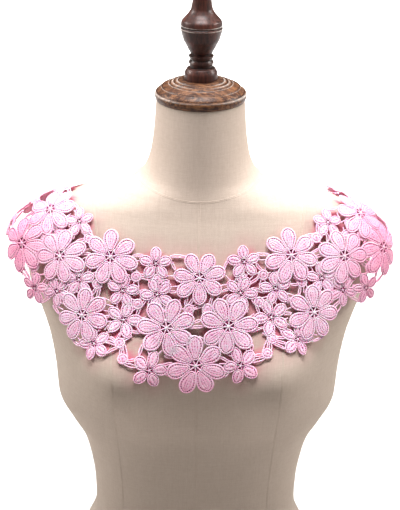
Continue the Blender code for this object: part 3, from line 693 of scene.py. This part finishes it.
def placeOf(point):
    way = (point - layout["centre"]).normalized()
    return (math.atan2(way.x, -way.y) * layout["radius"], math.asin(way.z) * layout["radius"])


def drapePoint(place):
    direction = directionOf(place)
    _, normal, _, bodyRadius = bodyTree.ray_cast(layout["centre"], direction)
    bodyRadius += layout["clearance"] / max(layout["steepest"], normal.dot(direction))
    outerRadius = outerTree.ray_cast(layout["centre"], direction)[3] or 0.0
    apart = math.hypot(bodyRadius - outerRadius, layout["blend"])
    blended = (bodyRadius + outerRadius + apart - layout["blend"]) / 2
    return layout["centre"] + direction * max(bodyRadius, blended)


def drapeFrame(place):  # point, rightwards, upwards and outwards, as seen from outside
    step = layout["apart"]
    across = drapePoint((place[0] + step, place[1])) - drapePoint((place[0] - step, place[1]))
    up = drapePoint((place[0], place[1] + step)) - drapePoint((place[0], place[1] - step))
    outwards = across.cross(up).normalized()
    up = up.normalized()
    return drapePoint(place), up.cross(outwards), up, outwards


def buildDrape():  # a grid of the surface, with the outward way kept as an attribute
    turns = np.arange(-layout["round"], layout["round"] + 0.01, layout["step"])
    rises = np.arange(layout["low"], layout["high"] + 0.01, layout["step"])
    grid = np.array([[drapePoint((t * degree, r * degree)) for t in turns] for r in rises])
    outwards = np.cross(np.gradient(grid, axis=1), np.gradient(grid, axis=0))
    outwards /= np.linalg.norm(outwards, axis=2, keepdims=True)
    wide = len(turns)
    faces = [(j * wide + i, j * wide + i + 1, (j + 1) * wide + i + 1, (j + 1) * wide + i)
             for j in range(len(rises) - 1) for i in range(wide - 1)]
    mesh = meshFrom("drapeSurface", grid.reshape(-1, 3), faces)
    setPointValues(mesh, "outward", outwards.reshape(-1), "FLOAT_VECTOR")
    return addObject("drapeSurface", mesh)


drapeSurface = buildDrape()
print("drape surface built")


# petals, knots, spokes and discs

def closedCurve(control, count):  # even points on a smooth closed curve through the control points
    control = np.array(control, float)
    t = np.linspace(0, 1, 24, endpoint=False)[:, None]
    dense = []
    for i in range(len(control)):
        p0, p1, p2, p3 = (control[(i + k) % len(control)] for k in (-1, 0, 1, 2))
        dense.append(0.5 * (2 * p1 + (p2 - p0) * t + (2 * p0 - 5 * p1 + 4 * p2 - p3) * t ** 2
                            + (3 * p1 - p0 - 3 * p2 + p3) * t ** 3))
    dense = np.concatenate(dense + [control[:1]])
    along = lengthAlong(dense)
    at = np.linspace(0, along[-1], count, endpoint=False)
    return np.stack([np.interp(at, along, dense[:, k]) for k in (0, 1)], axis=1), at


# half outline as (reach from the flower's middle, half width), then the rings from the edge inwards as
# (inset, or share of the way in where it is negative, height, relief); all in mm
# the relief of the rings is painted light: low in the grooves for painted shade, high on the cords for painted
# highlights
petalShapes = {
    "large": {"outline": [(5.7, 0), (6.1, 1.8), (7.4, 3.4), (9.5, 4.6), (12.5, 6.05), (16.2, 7.8),
                          (20.8, 8.6), (25.0, 7.9), (28.3, 5.8), (30.3, 2.9), (31, 0)],
              "spine": (10.5, 26.0), "around": 60, "groove": 7, "deepest": 2.95,
              "rings": [(0.3, 0.05, 0.5), (0.0, 0.5, 0.72), (0.3, 1.15, 0.88), (0.95, 1.5, 0.96),
                        (1.75, 1.3, 0.9), (1.95, 1.1, -0.1), (2.35, 0.95, -0.35), (2.75, 1.08, -0.1),
                        (2.95, 1.28, 0.78),
                        (-0.52, 1.42, 0.95), (-0.62, 1.38, 0.86), (-0.7, 1.12, 0.2), (-0.78, 1.42, 0.84),
                        (-0.92, 1.5, 0.9), (-1.0, 1.2, 0.1)]},
    "small": {"outline": [(3.3, 0), (3.5, 1.2), (4.6, 2.9), (6.4, 4.4), (8.8, 5.6), (11.8, 6.0), (14.9, 5.3),
                          (17.3, 3.5), (18.6, 1.7), (19, 0)],
              "spine": (5.8, 15.4), "around": 40, "groove": 7, "deepest": 2.3,
              "rings": [(0.25, 0.05, 0.5), (0.0, 0.45, 0.72), (0.25, 1.15, 0.88), (0.75, 1.5, 0.96),
                        (1.3, 1.25, 0.9), (1.46, 1.05, -0.1), (1.78, 0.9, -0.35), (2.12, 1.02, -0.1),
                        (2.3, 1.25, 0.78), (-0.62, 1.45, 0.95), (-0.84, 1.42, 0.86), (-1.0, 0.95, 0.1)]}}
petalCord = {"slimmest": 0.62, "fullFrom": 2.4, "mostInset": 0.46, "underside": 0.35}


def finishPart(name, points, faces, uvs, relief):
    mesh = meshFrom(name, points, faces)
    layer = mesh.uv_layers.new(name="UVMap")
    layer.data.foreach_set("uv", np.array(uvs, float).reshape(-1))
    setPointValues(mesh, "relief", relief)
    bm = bmesh.new()
    bm.from_mesh(mesh)
    bmesh.ops.remove_doubles(bm, verts=bm.verts, dist=2e-6)
    bmesh.ops.dissolve_degenerate(bm, dist=1e-7, edges=bm.edges)
    bmesh.ops.recalc_face_normals(bm, faces=bm.faces)
    bm.to_mesh(mesh)
    bm.free()
    mesh.shade_smooth()
    return addObject(name, mesh)


def buildPetal(kind):
    shape = petalShapes[kind]
    half = shape["outline"]
    edge, perimeter = closedCurve(half + [(reach, -width) for reach, width in half[-2:0:-1]], shape["around"])
    low, high = half[0][0], half[-1][0]
    share = (edge[:, 0] - low) / (high - low)
    inner = shape["spine"][0] + (shape["spine"][1] - shape["spine"][0]) * np.clip(share, 0, 1)
    spine = np.stack([inner, np.zeros(len(inner))], axis=1)
    away = spine - edge
    depth = np.linalg.norm(away, axis=1)
    slim = petalCord["slimmest"]  # the border cord is slimmer towards the hub
    narrower = slim + (1 - slim) * np.clip(share * petalCord["fullFrom"], 0, 1)
    count = len(edge)
    points, relief, rings = [], [], []
    for inset, height, light in shape["rings"]:
        part = np.full(count, -inset)
        if inset >= 0:
            part = np.minimum(inset * narrower / depth, petalCord["mostInset"] * inset / shape["deepest"])
        ring = edge + away * part[:, None]
        rings.append(ring * mm)
        points += [(x * mm, y * mm, height * mm) for x, y in ring]
        relief += [light] * count

    def cordUv(ring, place):
        return (shape["rings"][ring][0] * mm, place * perimeter[1] * mm)

    def padUv(ring, place):
        return tuple(rings[ring][place % count])

    groove = shape["groove"]
    uvs = wallUvs(range(groove), count, cordUv) + wallUvs(range(groove, len(rings) - 1), count, padUv)
    faces = wallFaces(len(rings), count)
    under = len(points)  # the underside arches up a little so that it never cuts into the form
    points += [(x * mm, y * mm, petalCord["underside"] * mm) for x, y in spine]
    relief += [0.6] * count
    for i in range(count):
        j = (i + 1) % count
        faces.append((i, under + i, under + j, j))
        uvs += [tuple(edge[i] * mm), tuple(spine[i] * mm), tuple(spine[j] * mm), tuple(edge[j] * mm)]
    return finishPart("petal" + kind.capitalize(), points, faces, uvs, relief)


def buildRound(name, around, rings):  # a domed round part; rings: (radius, height, relief) in mm, from below
    turns = [math.tau * i / around for i in range(around)]
    points = [(radius * mm * math.cos(turn), radius * mm * math.sin(turn), height * mm)
              for radius, height, _ in rings for turn in turns]
    relief = [light for _, _, light in rings for _ in turns]
    stitchTurn = math.tau / around * 0.004
    uvs = wallUvs(range(len(rings) - 1), around,
                  lambda ring, place: (rings[ring][0] * mm, place * stitchTurn))
    ends = endFaces(len(rings), around)
    uvs += [points[corner][:2] for end in ends for corner in end]
    return finishPart(name, points, wallFaces(len(rings), around) + ends, uvs, relief)


def buildSpoke(name, start, end, radius):  # a thread laid along +X, round above and flat below
    profile = [(-1.0, 0.15), (-0.85, 0.75), (-0.4, 1.2), (0.4, 1.2), (0.85, 0.75), (1.0, 0.15), (0.0, 0.0)]
    size, raised, wide = len(profile), 0.25, 0.0003
    stations = np.linspace(start, end, 5)
    points = [(x * mm, across * radius * mm, (height * radius + raised) * mm)
              for x in stations for across, height in profile]
    # the relief rises with the height: painted shade on the thread's flat underside, painted highlight on its
    # top
    relief = [0.3 + 0.75 * min(1.0, height) for _ in stations for _, height in profile]
    uvs = wallUvs(range(len(stations) - 1), size, lambda ring, place: (place * wide, stations[ring] * mm))
    ends = endFaces(len(stations), size)
    uvs += [points[corner][1:] for end in ends for corner in end]
    return finishPart(name, points, wallFaces(len(stations), size) + ends, uvs, relief)


# the knot's rings, a spoke's start, end and radius, and the inner and outer radius of the dark disc under the
# hub, painted shade for the hub's deep middle; in mm
hubs = {
    "large": {"petals": 7, "knot": [(1.6, 0.25, 0.8), (2.0, 0.6, 1.1), (1.9, 1.15, 1.3), (1.2, 1.6, 1.4),
                                    (0.4, 1.75, 1.4)],
              "knotSides": 14, "spoke": (0.9, 9.5, 0.8), "well": (7.4, 7.7), "wellSides": 21},
    "small": {"petals": 5, "knot": [(0.9, 0.25, 0.8), (1.15, 0.6, 1.0), (1.1, 1.0, 1.2), (0.75, 1.35, 1.3),
                                    (0.3, 1.45, 1.3)],
              "knotSides": 12, "spoke": (0.7, 5.6, 0.42), "well": (4.1, 4.35), "wellSides": 15}}


def buildParts(kind):
    hub, size = hubs[kind], kind.capitalize()
    inner, outer = hub["well"]
    # a dark disc under the knot and spokes: painted shade on its top, pink below
    paintedShadeDiscRings = [(inner, 0.05, 0.7), (outer, 0.14, 0.6), (inner, 0.24, -0.8)]
    return {"Petal": buildPetal(kind), "Knot": buildRound("knot" + size, hub["knotSides"], hub["knot"]),
            "Spoke": buildSpoke("spoke" + size, *hub["spoke"]),
            "Well": buildRound("well" + size, hub["wellSides"], paintedShadeDiscRings)}


parts = {kind: buildParts(kind) for kind in hubs}
discRings = [(5.3, 0.05, 0.3), (5.65, 0.5, 0.62), (5.4, 1.15, 0.85), (4.7, 1.5, 0.92), (4.0, 1.3, 0.8),
             (3.7, 1.1, 0.2), (3.4, 1.05, 0.15), (3.0, 1.3, 0.7), (1.7, 1.6, 0.8), (1.1, 1.55, 0.3),
             (0.5, 1.5, 0.1)]
discPart = buildRound("discFlower", 24, discRings)
print("lace parts built")


# geometry trees

def buildFlowerTree():  # petals and spokes set round a knot, each petal a little unlike the next
    tree, n, given, result = newGroup("flowerHead", "GeometryNodeTree", {
        "Geometry": "Geometry", "Petals": 7, "Petal": "Object", "Spoke": "Object", "Knot": "Object",
        "Well": "Object", "Turned": 0.075, "Longer": 0.05, "Broader": 0.055, "Mean Length": 0.985, "Seed": 1,
        "Material": "Material"}, {"Geometry": "Geometry"})

    def uneven(label, draw):
        random = n.add("FunctionNodeRandomValue", {2: -1.0, 3: 1.0, "Seed": n.plus(given["Seed"], draw)},
                       data_type="FLOAT")
        return n.times(random.outputs[1], given[label])

    line = n.add("GeometryNodeMeshLine", {"Count": given["Petals"], "Offset": (0, 0, 0)}).outputs[0]
    index = n.add("GeometryNodeInputIndex").outputs[0]
    step = n.math("DIVIDE", math.tau, given["Petals"])
    petalTurn = n.combine(z=n.plus(n.times(index, step), uneven("Turned", 0)))
    spokeTurn = n.combine(z=n.times(n.plus(index, 0.5), step))
    longer = n.plus(uneven("Longer", 11), given["Mean Length"])
    petalSize = n.combine(longer, n.plus(uneven("Broader", 23), 1.0), 1.0)
    shapes = [n.instances(line, n.shapeOf(given["Petal"]), petalTurn, petalSize),
              n.instances(line, n.shapeOf(given["Spoke"]), spokeTurn, (1.0, 1.0, 1.0)),
              n.shapeOf(given["Knot"]), n.shapeOf(given["Well"])]
    n.finish(result, n.joined(shapes), given["Material"])
    return tree


def layOnDrape(n, shape, drape, centre, height):  # carry points out from the chest's middle on to the drape
    position = n.add("GeometryNodeInputPosition").outputs[0]
    ray = n.add("GeometryNodeRaycast", {
        "Target Geometry": drape, "Attribute": n.named("outward", "FLOAT_VECTOR"), "Source Position": centre,
        "Ray Direction": n.vector("SUBTRACT", position, centre), "Ray Length": 2.0},
        data_type="FLOAT_VECTOR", mapping="INTERPOLATED").outputs
    place = n.vector("ADD", ray["Hit Position"], n.scaled(ray["Attribute"], height))
    return n.moved(shape, Selection=ray["Is Hit"], Position=place)


def buildScatterTree():  # one kind of motif set at each point, then carried on to the drape
    tree, n, given, result = newGroup("motifsOnDrape", "GeometryNodeTree", {
        "Geometry": "Geometry", "Motif": "Object", "Drape": "Object", "Centre": (0, 0, 0.46),
        "Material": "Material"}, {"Geometry": "Geometry"})
    x, y, z = n.separate(n.add("GeometryNodeInputPosition").outputs[0])
    flat = n.moved(n.store(n.shapeOf(given["Motif"]), "lift", z), Position=n.combine(x, y))
    spread = n.instances(given["Geometry"], flat, n.named("turn", "FLOAT_VECTOR"), n.named("size"))
    real = n.add("GeometryNodeRealizeInstances", {"Geometry": spread}).outputs[0]
    height = n.plus(n.named("lift"), n.named("layer"))
    laid = layOnDrape(n, real, n.shapeOf(given["Drape"]), given["Centre"], height)
    n.finish(result, laid, given["Material"])
    return tree


def buildBarTree():  # threads drawn along edges, carried on to the drape and given their thickness
    tree, n, given, result = newGroup("barsOnDrape", "GeometryNodeTree", {
        "Geometry": "Geometry", "Drape": "Object", "Centre": (0, 0, 0.46), "Radius": 0.0006, "Height": 0.0007,
        "Sides": 7, "Step": 0.0012, "Wander": 0.0016, "Relief": 0.84, "Material": "Material"},
        {"Geometry": "Geometry"})
    fine = n.evenCurve(given["Geometry"], given["Step"])
    position = n.add("GeometryNodeInputPosition").outputs[0]
    sway = n.vector("SUBTRACT", n.noise(position, 70.0, 0.0, output="Color"), (0.5, 0.5, 0.5))
    share = n.add("GeometryNodeSplineParameter").outputs["Factor"]
    held = n.math("SINE", n.times(share, math.pi))  # no sway at the ends
    longer = n.between(n.add("GeometryNodeSplineLength").outputs["Length"], 0.003, 0.010, 0.3, 2.4)
    swaying = n.moved(fine, Offset=n.scaled(sway, n.times(held, longer, given["Wander"])))
    laid = layOnDrape(n, swaying, n.shapeOf(given["Drape"]), given["Centre"], given["Height"])
    tube = n.threadFinish(n.thread(laid, given["Radius"], given["Sides"]), 0.0)
    n.finish(result, n.store(tube, "relief", given["Relief"]), given["Material"])
    return tree


flowerTree, scatterTree, barTree = buildFlowerTree(), buildScatterTree(), buildBarTree()
motifObjects = {("disc", 0): discPart}
handWork = {"seeds": (3, 8, 14), "turned": 0.075, "longer": 0.05, "broader": 0.055, "meanLength": 0.985}
for kind, part in parts.items():
    for number, seed in enumerate(handWork["seeds"]):
        mesh = runTree("flower" + kind.capitalize(), bpy.data.meshes.new("hub"), flowerTree, {
            **part, "Petals": hubs[kind]["petals"], "Turned": handWork["turned"], "Seed": seed,
            "Longer": handWork["longer"], "Broader": handWork["broader"],
            "Mean Length": handWork["meanLength"], "Material": laceThread})
        motifObjects[kind, number] = addObject(mesh.name, mesh)
print("flowers built", {kind: len(thing.data.polygons) for kind, thing in motifObjects.items()})


# the lay-out of the lace

# degrees round from the front, degrees up, turn of the first petal from up, size; sides are made twice
middleMotifs = {"large": [(0, -7, 0, 1.00), (0, 39.5, 25, 0.90)]}
sideMotifs = {
    "large": [(17, 12.5, 38, 0.97), (52, 37.5, 21, 0.92), (53.5, 12, 11, 0.95), (67.5, 28, 15, 0.92),
              (79, 24, 38, 0.95), (80.5, 36, 20, 0.90), (103, 30, 8, 0.92)],
    "small": [(21.5, -6.5, 59, 1.05), (25, 29, 31, 0.96), (29.5, 43, 9, 0.92), (37.5, 14, 67, 1.00),
              (42, 26.5, 7, 0.94), (45.5, 2.5, 30, 0.97), (59, 24, 20, 0.90), (64, 17, 50, 0.90),
              (69.5, 40.5, 46, 0.86), (71, 14.5, 0, 0.88), (74, 33, 10, 0.86), (92, 24, 30, 0.92),
              (97, 41, 12, 0.90)],
    "disc": [(5.5, 23, 0, 1), (26.5, 36.5, 0, 1), (32, -1, 0, 1), (33.5, 22.5, 0, 1), (35.5, 4.5, 0, 1),
             (38, 34.5, 0, 1), (52.5, 25.5, 0, 1), (63, 38.5, 0, 1), (73, 20.5, 0, 1), (91, 33, 0, 1)]}
# where the front ends and each arm begins, as degrees round at degrees up
seamRoute = [(38, -18), (38.8, 0), (40.2, 8), (43.8, 15), (48.3, 22), (48.8, 29), (42.5, 34), (41, 44),
             (41, 62)]
# outline corners of a petal as (reach, half width) in mm, the valley between petals, and the tip
kinds = {"large": {"valley": 17.8, "side": (24.0, 8.1), "end": (29.8, 4.2), "tip": 31.0},
         "small": {"valley": 7.8, "side": (12.5, 5.6), "end": (18.2, 3.6), "tip": 19.0}}
disc = {"radius": 4.9, "corners": 8}
layers = {"all": 0.0012, "touching": 0.97, "large": 0.0010, "next": 0.0005, "small": 0.0004}
bars = {"bends": (0.0, 0.15, 0.32, 0.5, 0.68, 0.85, 1.0), "tests": (0.08, 0.3, 0.5, 0.7, 0.92),
        "shortest": 0.0015, "longest": 0.0140, "spacing": 0.0040, "bite": 0.0014, "doubledFrom": 0.0085,
        "apart": 0.0021, "radius": 0.0007, "height": 0.0018, "sides": 7, "step": 0.0012, "wander": 0.0016,
        "relief": 0.84}
# the lace was laid by hand and lies a little askew: degrees more round and more up, by where a motif is
askew = {"turn": {"even": 0.20, "rising": 0.67, "roundSquared": 0.42, "roundCubed": 0.25},
         "tilt": {"round": 1.67, "roundRising": -0.67, "roundCubed": -0.79},
         "round": 50, "rise": 20, "level": 20, "furthest": 80}


def wornPlace(turnRound, rise):
    across = max(-askew["furthest"], min(askew["furthest"], turnRound)) / askew["round"]
    above = (rise - askew["level"]) / askew["rise"]
    turn, tilt = askew["turn"], askew["tilt"]
    turnRound += turn["even"] + turn["rising"] * above
    turnRound += turn["roundSquared"] * across ** 2 + turn["roundCubed"] * across ** 3
    rise += tilt["round"] * across + tilt["roundRising"] * across * above + tilt["roundCubed"] * across ** 3
    return (turnRound * degree, rise * degree)


class Placed:  # a motif on the drape
    def __init__(self, kind, row, side):
        self.kind = kind
        turnRound, rise, turn, self.size = row
        self.centre, self.right, self.up, self.out = drapeFrame(wornPlace(side * turnRound, rise))
        self.turn = side * math.radians(turn)
        self.reach = self.size * mm * (disc["radius"] if kind == "disc" else kinds[kind]["tip"])
        self.outline = [self.toLayout(angle, distance) for angle, distance in outlineOf(kind)]
        edge = float(np.interp(rise, [row[1] for row in seamRoute], [row[0] for row in seamRoute]))
        self.piece = "front" if turnRound < edge else ("left" if side > 0 else "right")

    def toLayout(self, angle, distance):
        angle += self.turn
        way = self.right * math.sin(angle) + self.up * math.cos(angle)
        return placeOf(self.centre + way * distance * mm * self.size)

    def rotation(self):  # the motif's +X is its first petal, which points up before the turn
        first = self.right * math.sin(self.turn) + self.up * math.cos(self.turn)
        return Matrix((first, self.out.cross(first), self.out)).transposed().to_euler()


def outlineOf(kind):  # corners as (angle, distance in mm)
    if kind == "disc":
        return [(-math.tau * i / disc["corners"], disc["radius"]) for i in range(disc["corners"])]
    shape = kinds[kind]
    petals = hubs[kind]["petals"]
    step = math.tau / petals
    corners = (shape["side"], shape["end"])
    rim = [(math.atan2(-width, reach), math.hypot(reach, width)) for reach, width in corners]
    petal = [(-step / 2, shape["valley"])] + rim + [(-a, d) for a, d in rim[::-1]]
    return [(step * number + a, d) for number in reversed(range(petals)) for a, d in reversed(petal)]


def inside(outline, place):
    within = False
    for (ax, ay), (bx, by) in zip(outline, outline[1:] + outline[:1]):
        if (ay > place[1]) != (by > place[1]) and place[0] < ax + (place[1] - ay) * (bx - ax) / (by - ay):
            within = not within
    return within


def planBars(placed):  # the shortest first, and none that crosses another
    points = [[drapePoint(place) for place in item.outline] for item in placed]
    joins = []
    for a, b in itertools.combinations(range(len(placed)), 2):
        if (placed[a].centre - placed[b].centre).length - placed[a].reach - placed[b].reach > bars["longest"]:
            continue
        for (i, start), (j, end) in itertools.product(enumerate(points[a]), enumerate(points[b])):
            length = (start - end).length
            if bars["shortest"] < length < bars["longest"]:
                joins.append((length, a, i, b, j))
    chosen, middles, used = [], [], set()
    for length, a, i, b, j in sorted(joins):
        start, end = placed[a].outline[i], placed[b].outline[j]
        middle = (points[a][i] + points[b][j]) / 2
        if (a, i) in used or (b, j) in used or any((middle - m).length < bars["spacing"] for m in middles):
            continue
        if any(geometry.intersect_line_line_2d(start, end, other[2], other[3]) for other in chosen):
            continue
        near = [item for item in placed if (item.centre - middle).length < item.reach + bars["longest"] / 2]
        tests = [[a + (b - a) * share for a, b in zip(start, end)] for share in bars["tests"]]
        if any(inside(item.outline, place) for item in near for place in tests):
            continue
        chosen.append((points[a][i], points[b][j], start, end, placed[a].piece))
        middles.append(middle)
        used.update([(a, i), (b, j)])
    return chosen


def barLines(chosen):  # the threads of each piece as runs of points, the longer bars doubled and bowed apart
    lines = {"front": [], "left": [], "right": []}
    for start, end, _, _, piece in chosen:
        way = (end - start).normalized()
        start, end = start - way * bars["bite"], end + way * bars["bite"]
        outwards = ((start + end) / 2 - layout["centre"]).normalized()
        across = way.cross(outwards).normalized() * bars["apart"] / 2
        if (end - start).length > bars["doubledFrom"]:
            for side in (1, -1):
                lines[piece].append([start.lerp(end, share) + across * side * math.sin(math.pi * share) ** 0.6
                                     for share in bars["bends"]])
        else:
            lines[piece].append([start, end])
    return lines


def raiseCrossing(placed):  # large flowers lie over the small ones and the discs that they cross
    for number, item in enumerate(placed):
        item.layer = layers["all"]
        item.maker = number % len(handWork["seeds"]) if item.kind != "disc" else 0
        crossed = [other for other in placed if other is not item
                   and (other.centre - item.centre).length < (other.reach + item.reach) * layers["touching"]]
        if item.kind == "large" and crossed:
            item.layer += layers["large"] + layers["next"] * (number % 2)
        elif item.kind == "small" and any(other.kind == "disc" for other in crossed):
            item.layer += layers["small"]


def joinMeshes(name, meshes):
    things = [addObject(name, mesh) for mesh in meshes]
    with bpy.context.temp_override(active_object=things[0], selected_objects=things,
                                   selected_editable_objects=things, object=things[0]):
        bpy.ops.object.join()
    joined = things[0]
    joined.name = joined.data.name = name
    for label in ("lift", "runs", "layer", "size", "turn"):
        if label in joined.data.attributes:
            joined.data.attributes.remove(joined.data.attributes[label])
    return joined


def buildLace():
    placed = [Placed(kind, row, 1) for kind, rows in middleMotifs.items() for row in rows]
    placed += [Placed(kind, row, side)
               for side in (1, -1) for kind, rows in sideMotifs.items() for row in rows]
    raiseCrossing(placed)
    lines = barLines(planBars(placed))
    surface = {"Drape": drapeSurface, "Centre": layout["centre"], "Material": laceThread}
    pieces = {}
    for piece in lines:
        meshes = []
        for motif, motifObject in motifObjects.items():
            laid = [item for item in placed if item.piece == piece and (item.kind, item.maker) == motif]
            if not laid:
                continue
            mesh = meshFrom("motifPoints", [item.centre for item in laid])
            turns = [value for item in laid for value in item.rotation()]
            setPointValues(mesh, "turn", turns, "FLOAT_VECTOR")
            setPointValues(mesh, "size", [item.size for item in laid])
            setPointValues(mesh, "layer", [item.layer for item in laid])
            meshes.append(runTree("laidMotifs", mesh, scatterTree, {"Motif": motifObject, **surface}))
        meshes.append(runTree("laidBars", meshOfLines("barEdges", lines[piece]), barTree, {
            "Radius": bars["radius"], "Height": bars["height"], "Sides": bars["sides"], "Step": bars["step"],
            "Wander": bars["wander"], "Relief": bars["relief"], **surface}))
        pieces[piece] = joinMeshes("lace" + piece.capitalize(), meshes)
        print(piece, "of the lace laid,", len(lines[piece]), "threads in its bars")
    return pieces


# painted shade and pink bounce light on the cover in the lace's gaps, and a painted shadow near its edges
blush = {"low": 0.33, "high": 0.64, "reach": 0.011, "thin": 60, "fewest": 3, "enough": 14, "open": 0.66,
         "closed": 0.2, "most": 0.95, "paintedEdgeShadow": 0.2, "paintedEdgeShadowReach": 0.02}


def paintLaceShadeAndBounce(pieces):  # painted shade and painted pink bounce light from the lace on the cover, in its gaps and near its edges
    corners = [v.co for piece in pieces for v in list(piece.data.vertices)[::blush["thin"]]]
    tree = kdtree.KDTree(len(corners))
    for i, corner in enumerate(corners):
        tree.insert(corner, i)
    tree.balance()
    values = []
    for vertex in linenForm.data.vertices:
        if not blush["low"] < vertex.co.z < blush["high"]:
            values.append(0.0)
            continue
        near = tree.find_range(vertex.co, blush["reach"])
        share = 0.0
        if len(near) > blush["fewest"]:  # where all the lace lies to one side, there is no gap
            lean = sum(((spot - vertex.co).normalized() for spot, _, _ in near), Vector()) / len(near)
            lean -= lean.project(vertex.normal)
            share = min(1.0, max(0.0, (blush["open"] - lean.length) / (blush["open"] - blush["closed"])))
            share *= min(1.0, len(near) / blush["enough"])
        # a painted shadow on the cover, fading with the distance from the lace
        paintedEdgeShadow = blush["paintedEdgeShadow"] * max(0.0, 1 - tree.find(vertex.co)[2] / blush["paintedEdgeShadowReach"])
        values.append(max(blush["most"] * share, paintedEdgeShadow))
    setPointValues(linenForm.data, "blush", values)


lacePieces = buildLace()
paintLaceShadeAndBounce(lacePieces.values())
shapes = [shape for part in parts.values() for shape in part.values()]
for thing in [*motifObjects.values(), *shapes, drapeSurface]:
    bpy.data.objects.remove(thing)
cloth = {"front": ("lace_front", (0.26, 0.16), 0.0250), "left": ("lace_left", (0.21, 0.15), 0.0225),
         "right": ("lace_right", (0.21, 0.15), 0.0225)}  # node, flat size and net area
for piece, (node, flat, area) in cloth.items():
    lace = lacePieces[piece]
    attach(lace, "root")
    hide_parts(node)
print("lace built")


# floor and light

studio = {"floorDark": "C6C5C3", "floorLight": "D0CFCD", "sky": (1.0, 0.92, 0.82, 1), "skyStrength": 0.124}
# name, place, target, size, power, colour, spread in degrees
lights = [("key", (0, -0.34, 2.4), (0, 0, 0.5), (1.2, 0.5), 66, (1.0, 0.99, 1.0), 180),
          ("sideLeft", (-1.4, 0.2, 1.3), (0, 0, 0.6), (0.5, 0.6), 1.05, (1.0, 0.98, 0.95), 34),
          ("sideRight", (1.4, 0.2, 1.3), (0, 0, 0.6), (0.5, 0.6), 1.05, (1.0, 0.98, 0.95), 34),
          ("floorWash", (0, 2.7, 3.2), (0, 2.7, 0), (7.0, 3.8), 430, (1, 1, 1), 75)]


def buildFloor():
    material, n, shader = newMaterial("paleFloor")
    tone = n.mix(n.noise(n.place(), 1.4, 3.0), linear(studio["floorDark"]), linear(studio["floorLight"]))
    n.fill(shader, {"Base Color": tone, "Roughness": 0.9})
    mesh = meshFrom("floor", [(-9, -6, 0), (9, -6, 0), (9, 14, 0), (-9, 14, 0)], [(0, 1, 2, 3)])
    mesh.materials.append(material)
    floor = addObject("floor", mesh)


def addArea(name, place, target, size, power, colour, spread):
    data = bpy.data.lights.new(name, "AREA")
    data.shape = "RECTANGLE"
    data.size, data.size_y = size
    data.energy = power
    data.color = colour
    data.spread = math.radians(spread)
    way = Vector(target) - Vector(place)
    turn = way.to_track_quat("-Z", "Y").to_matrix().to_4x4()
    addObject(name, data).matrix_world = Matrix.Translation(place) @ turn


buildFloor()
for light in lights:
    addArea(*light)
scene.world = bpy.data.worlds.new("studio")
scene.world.use_nodes = True
sky = scene.world.node_tree.nodes["Background"].inputs
sky[0].default_value, sky[1].default_value = studio["sky"], studio["skyStrength"]
scene.view_settings.view_transform = "Standard"
print("floor and lights set")
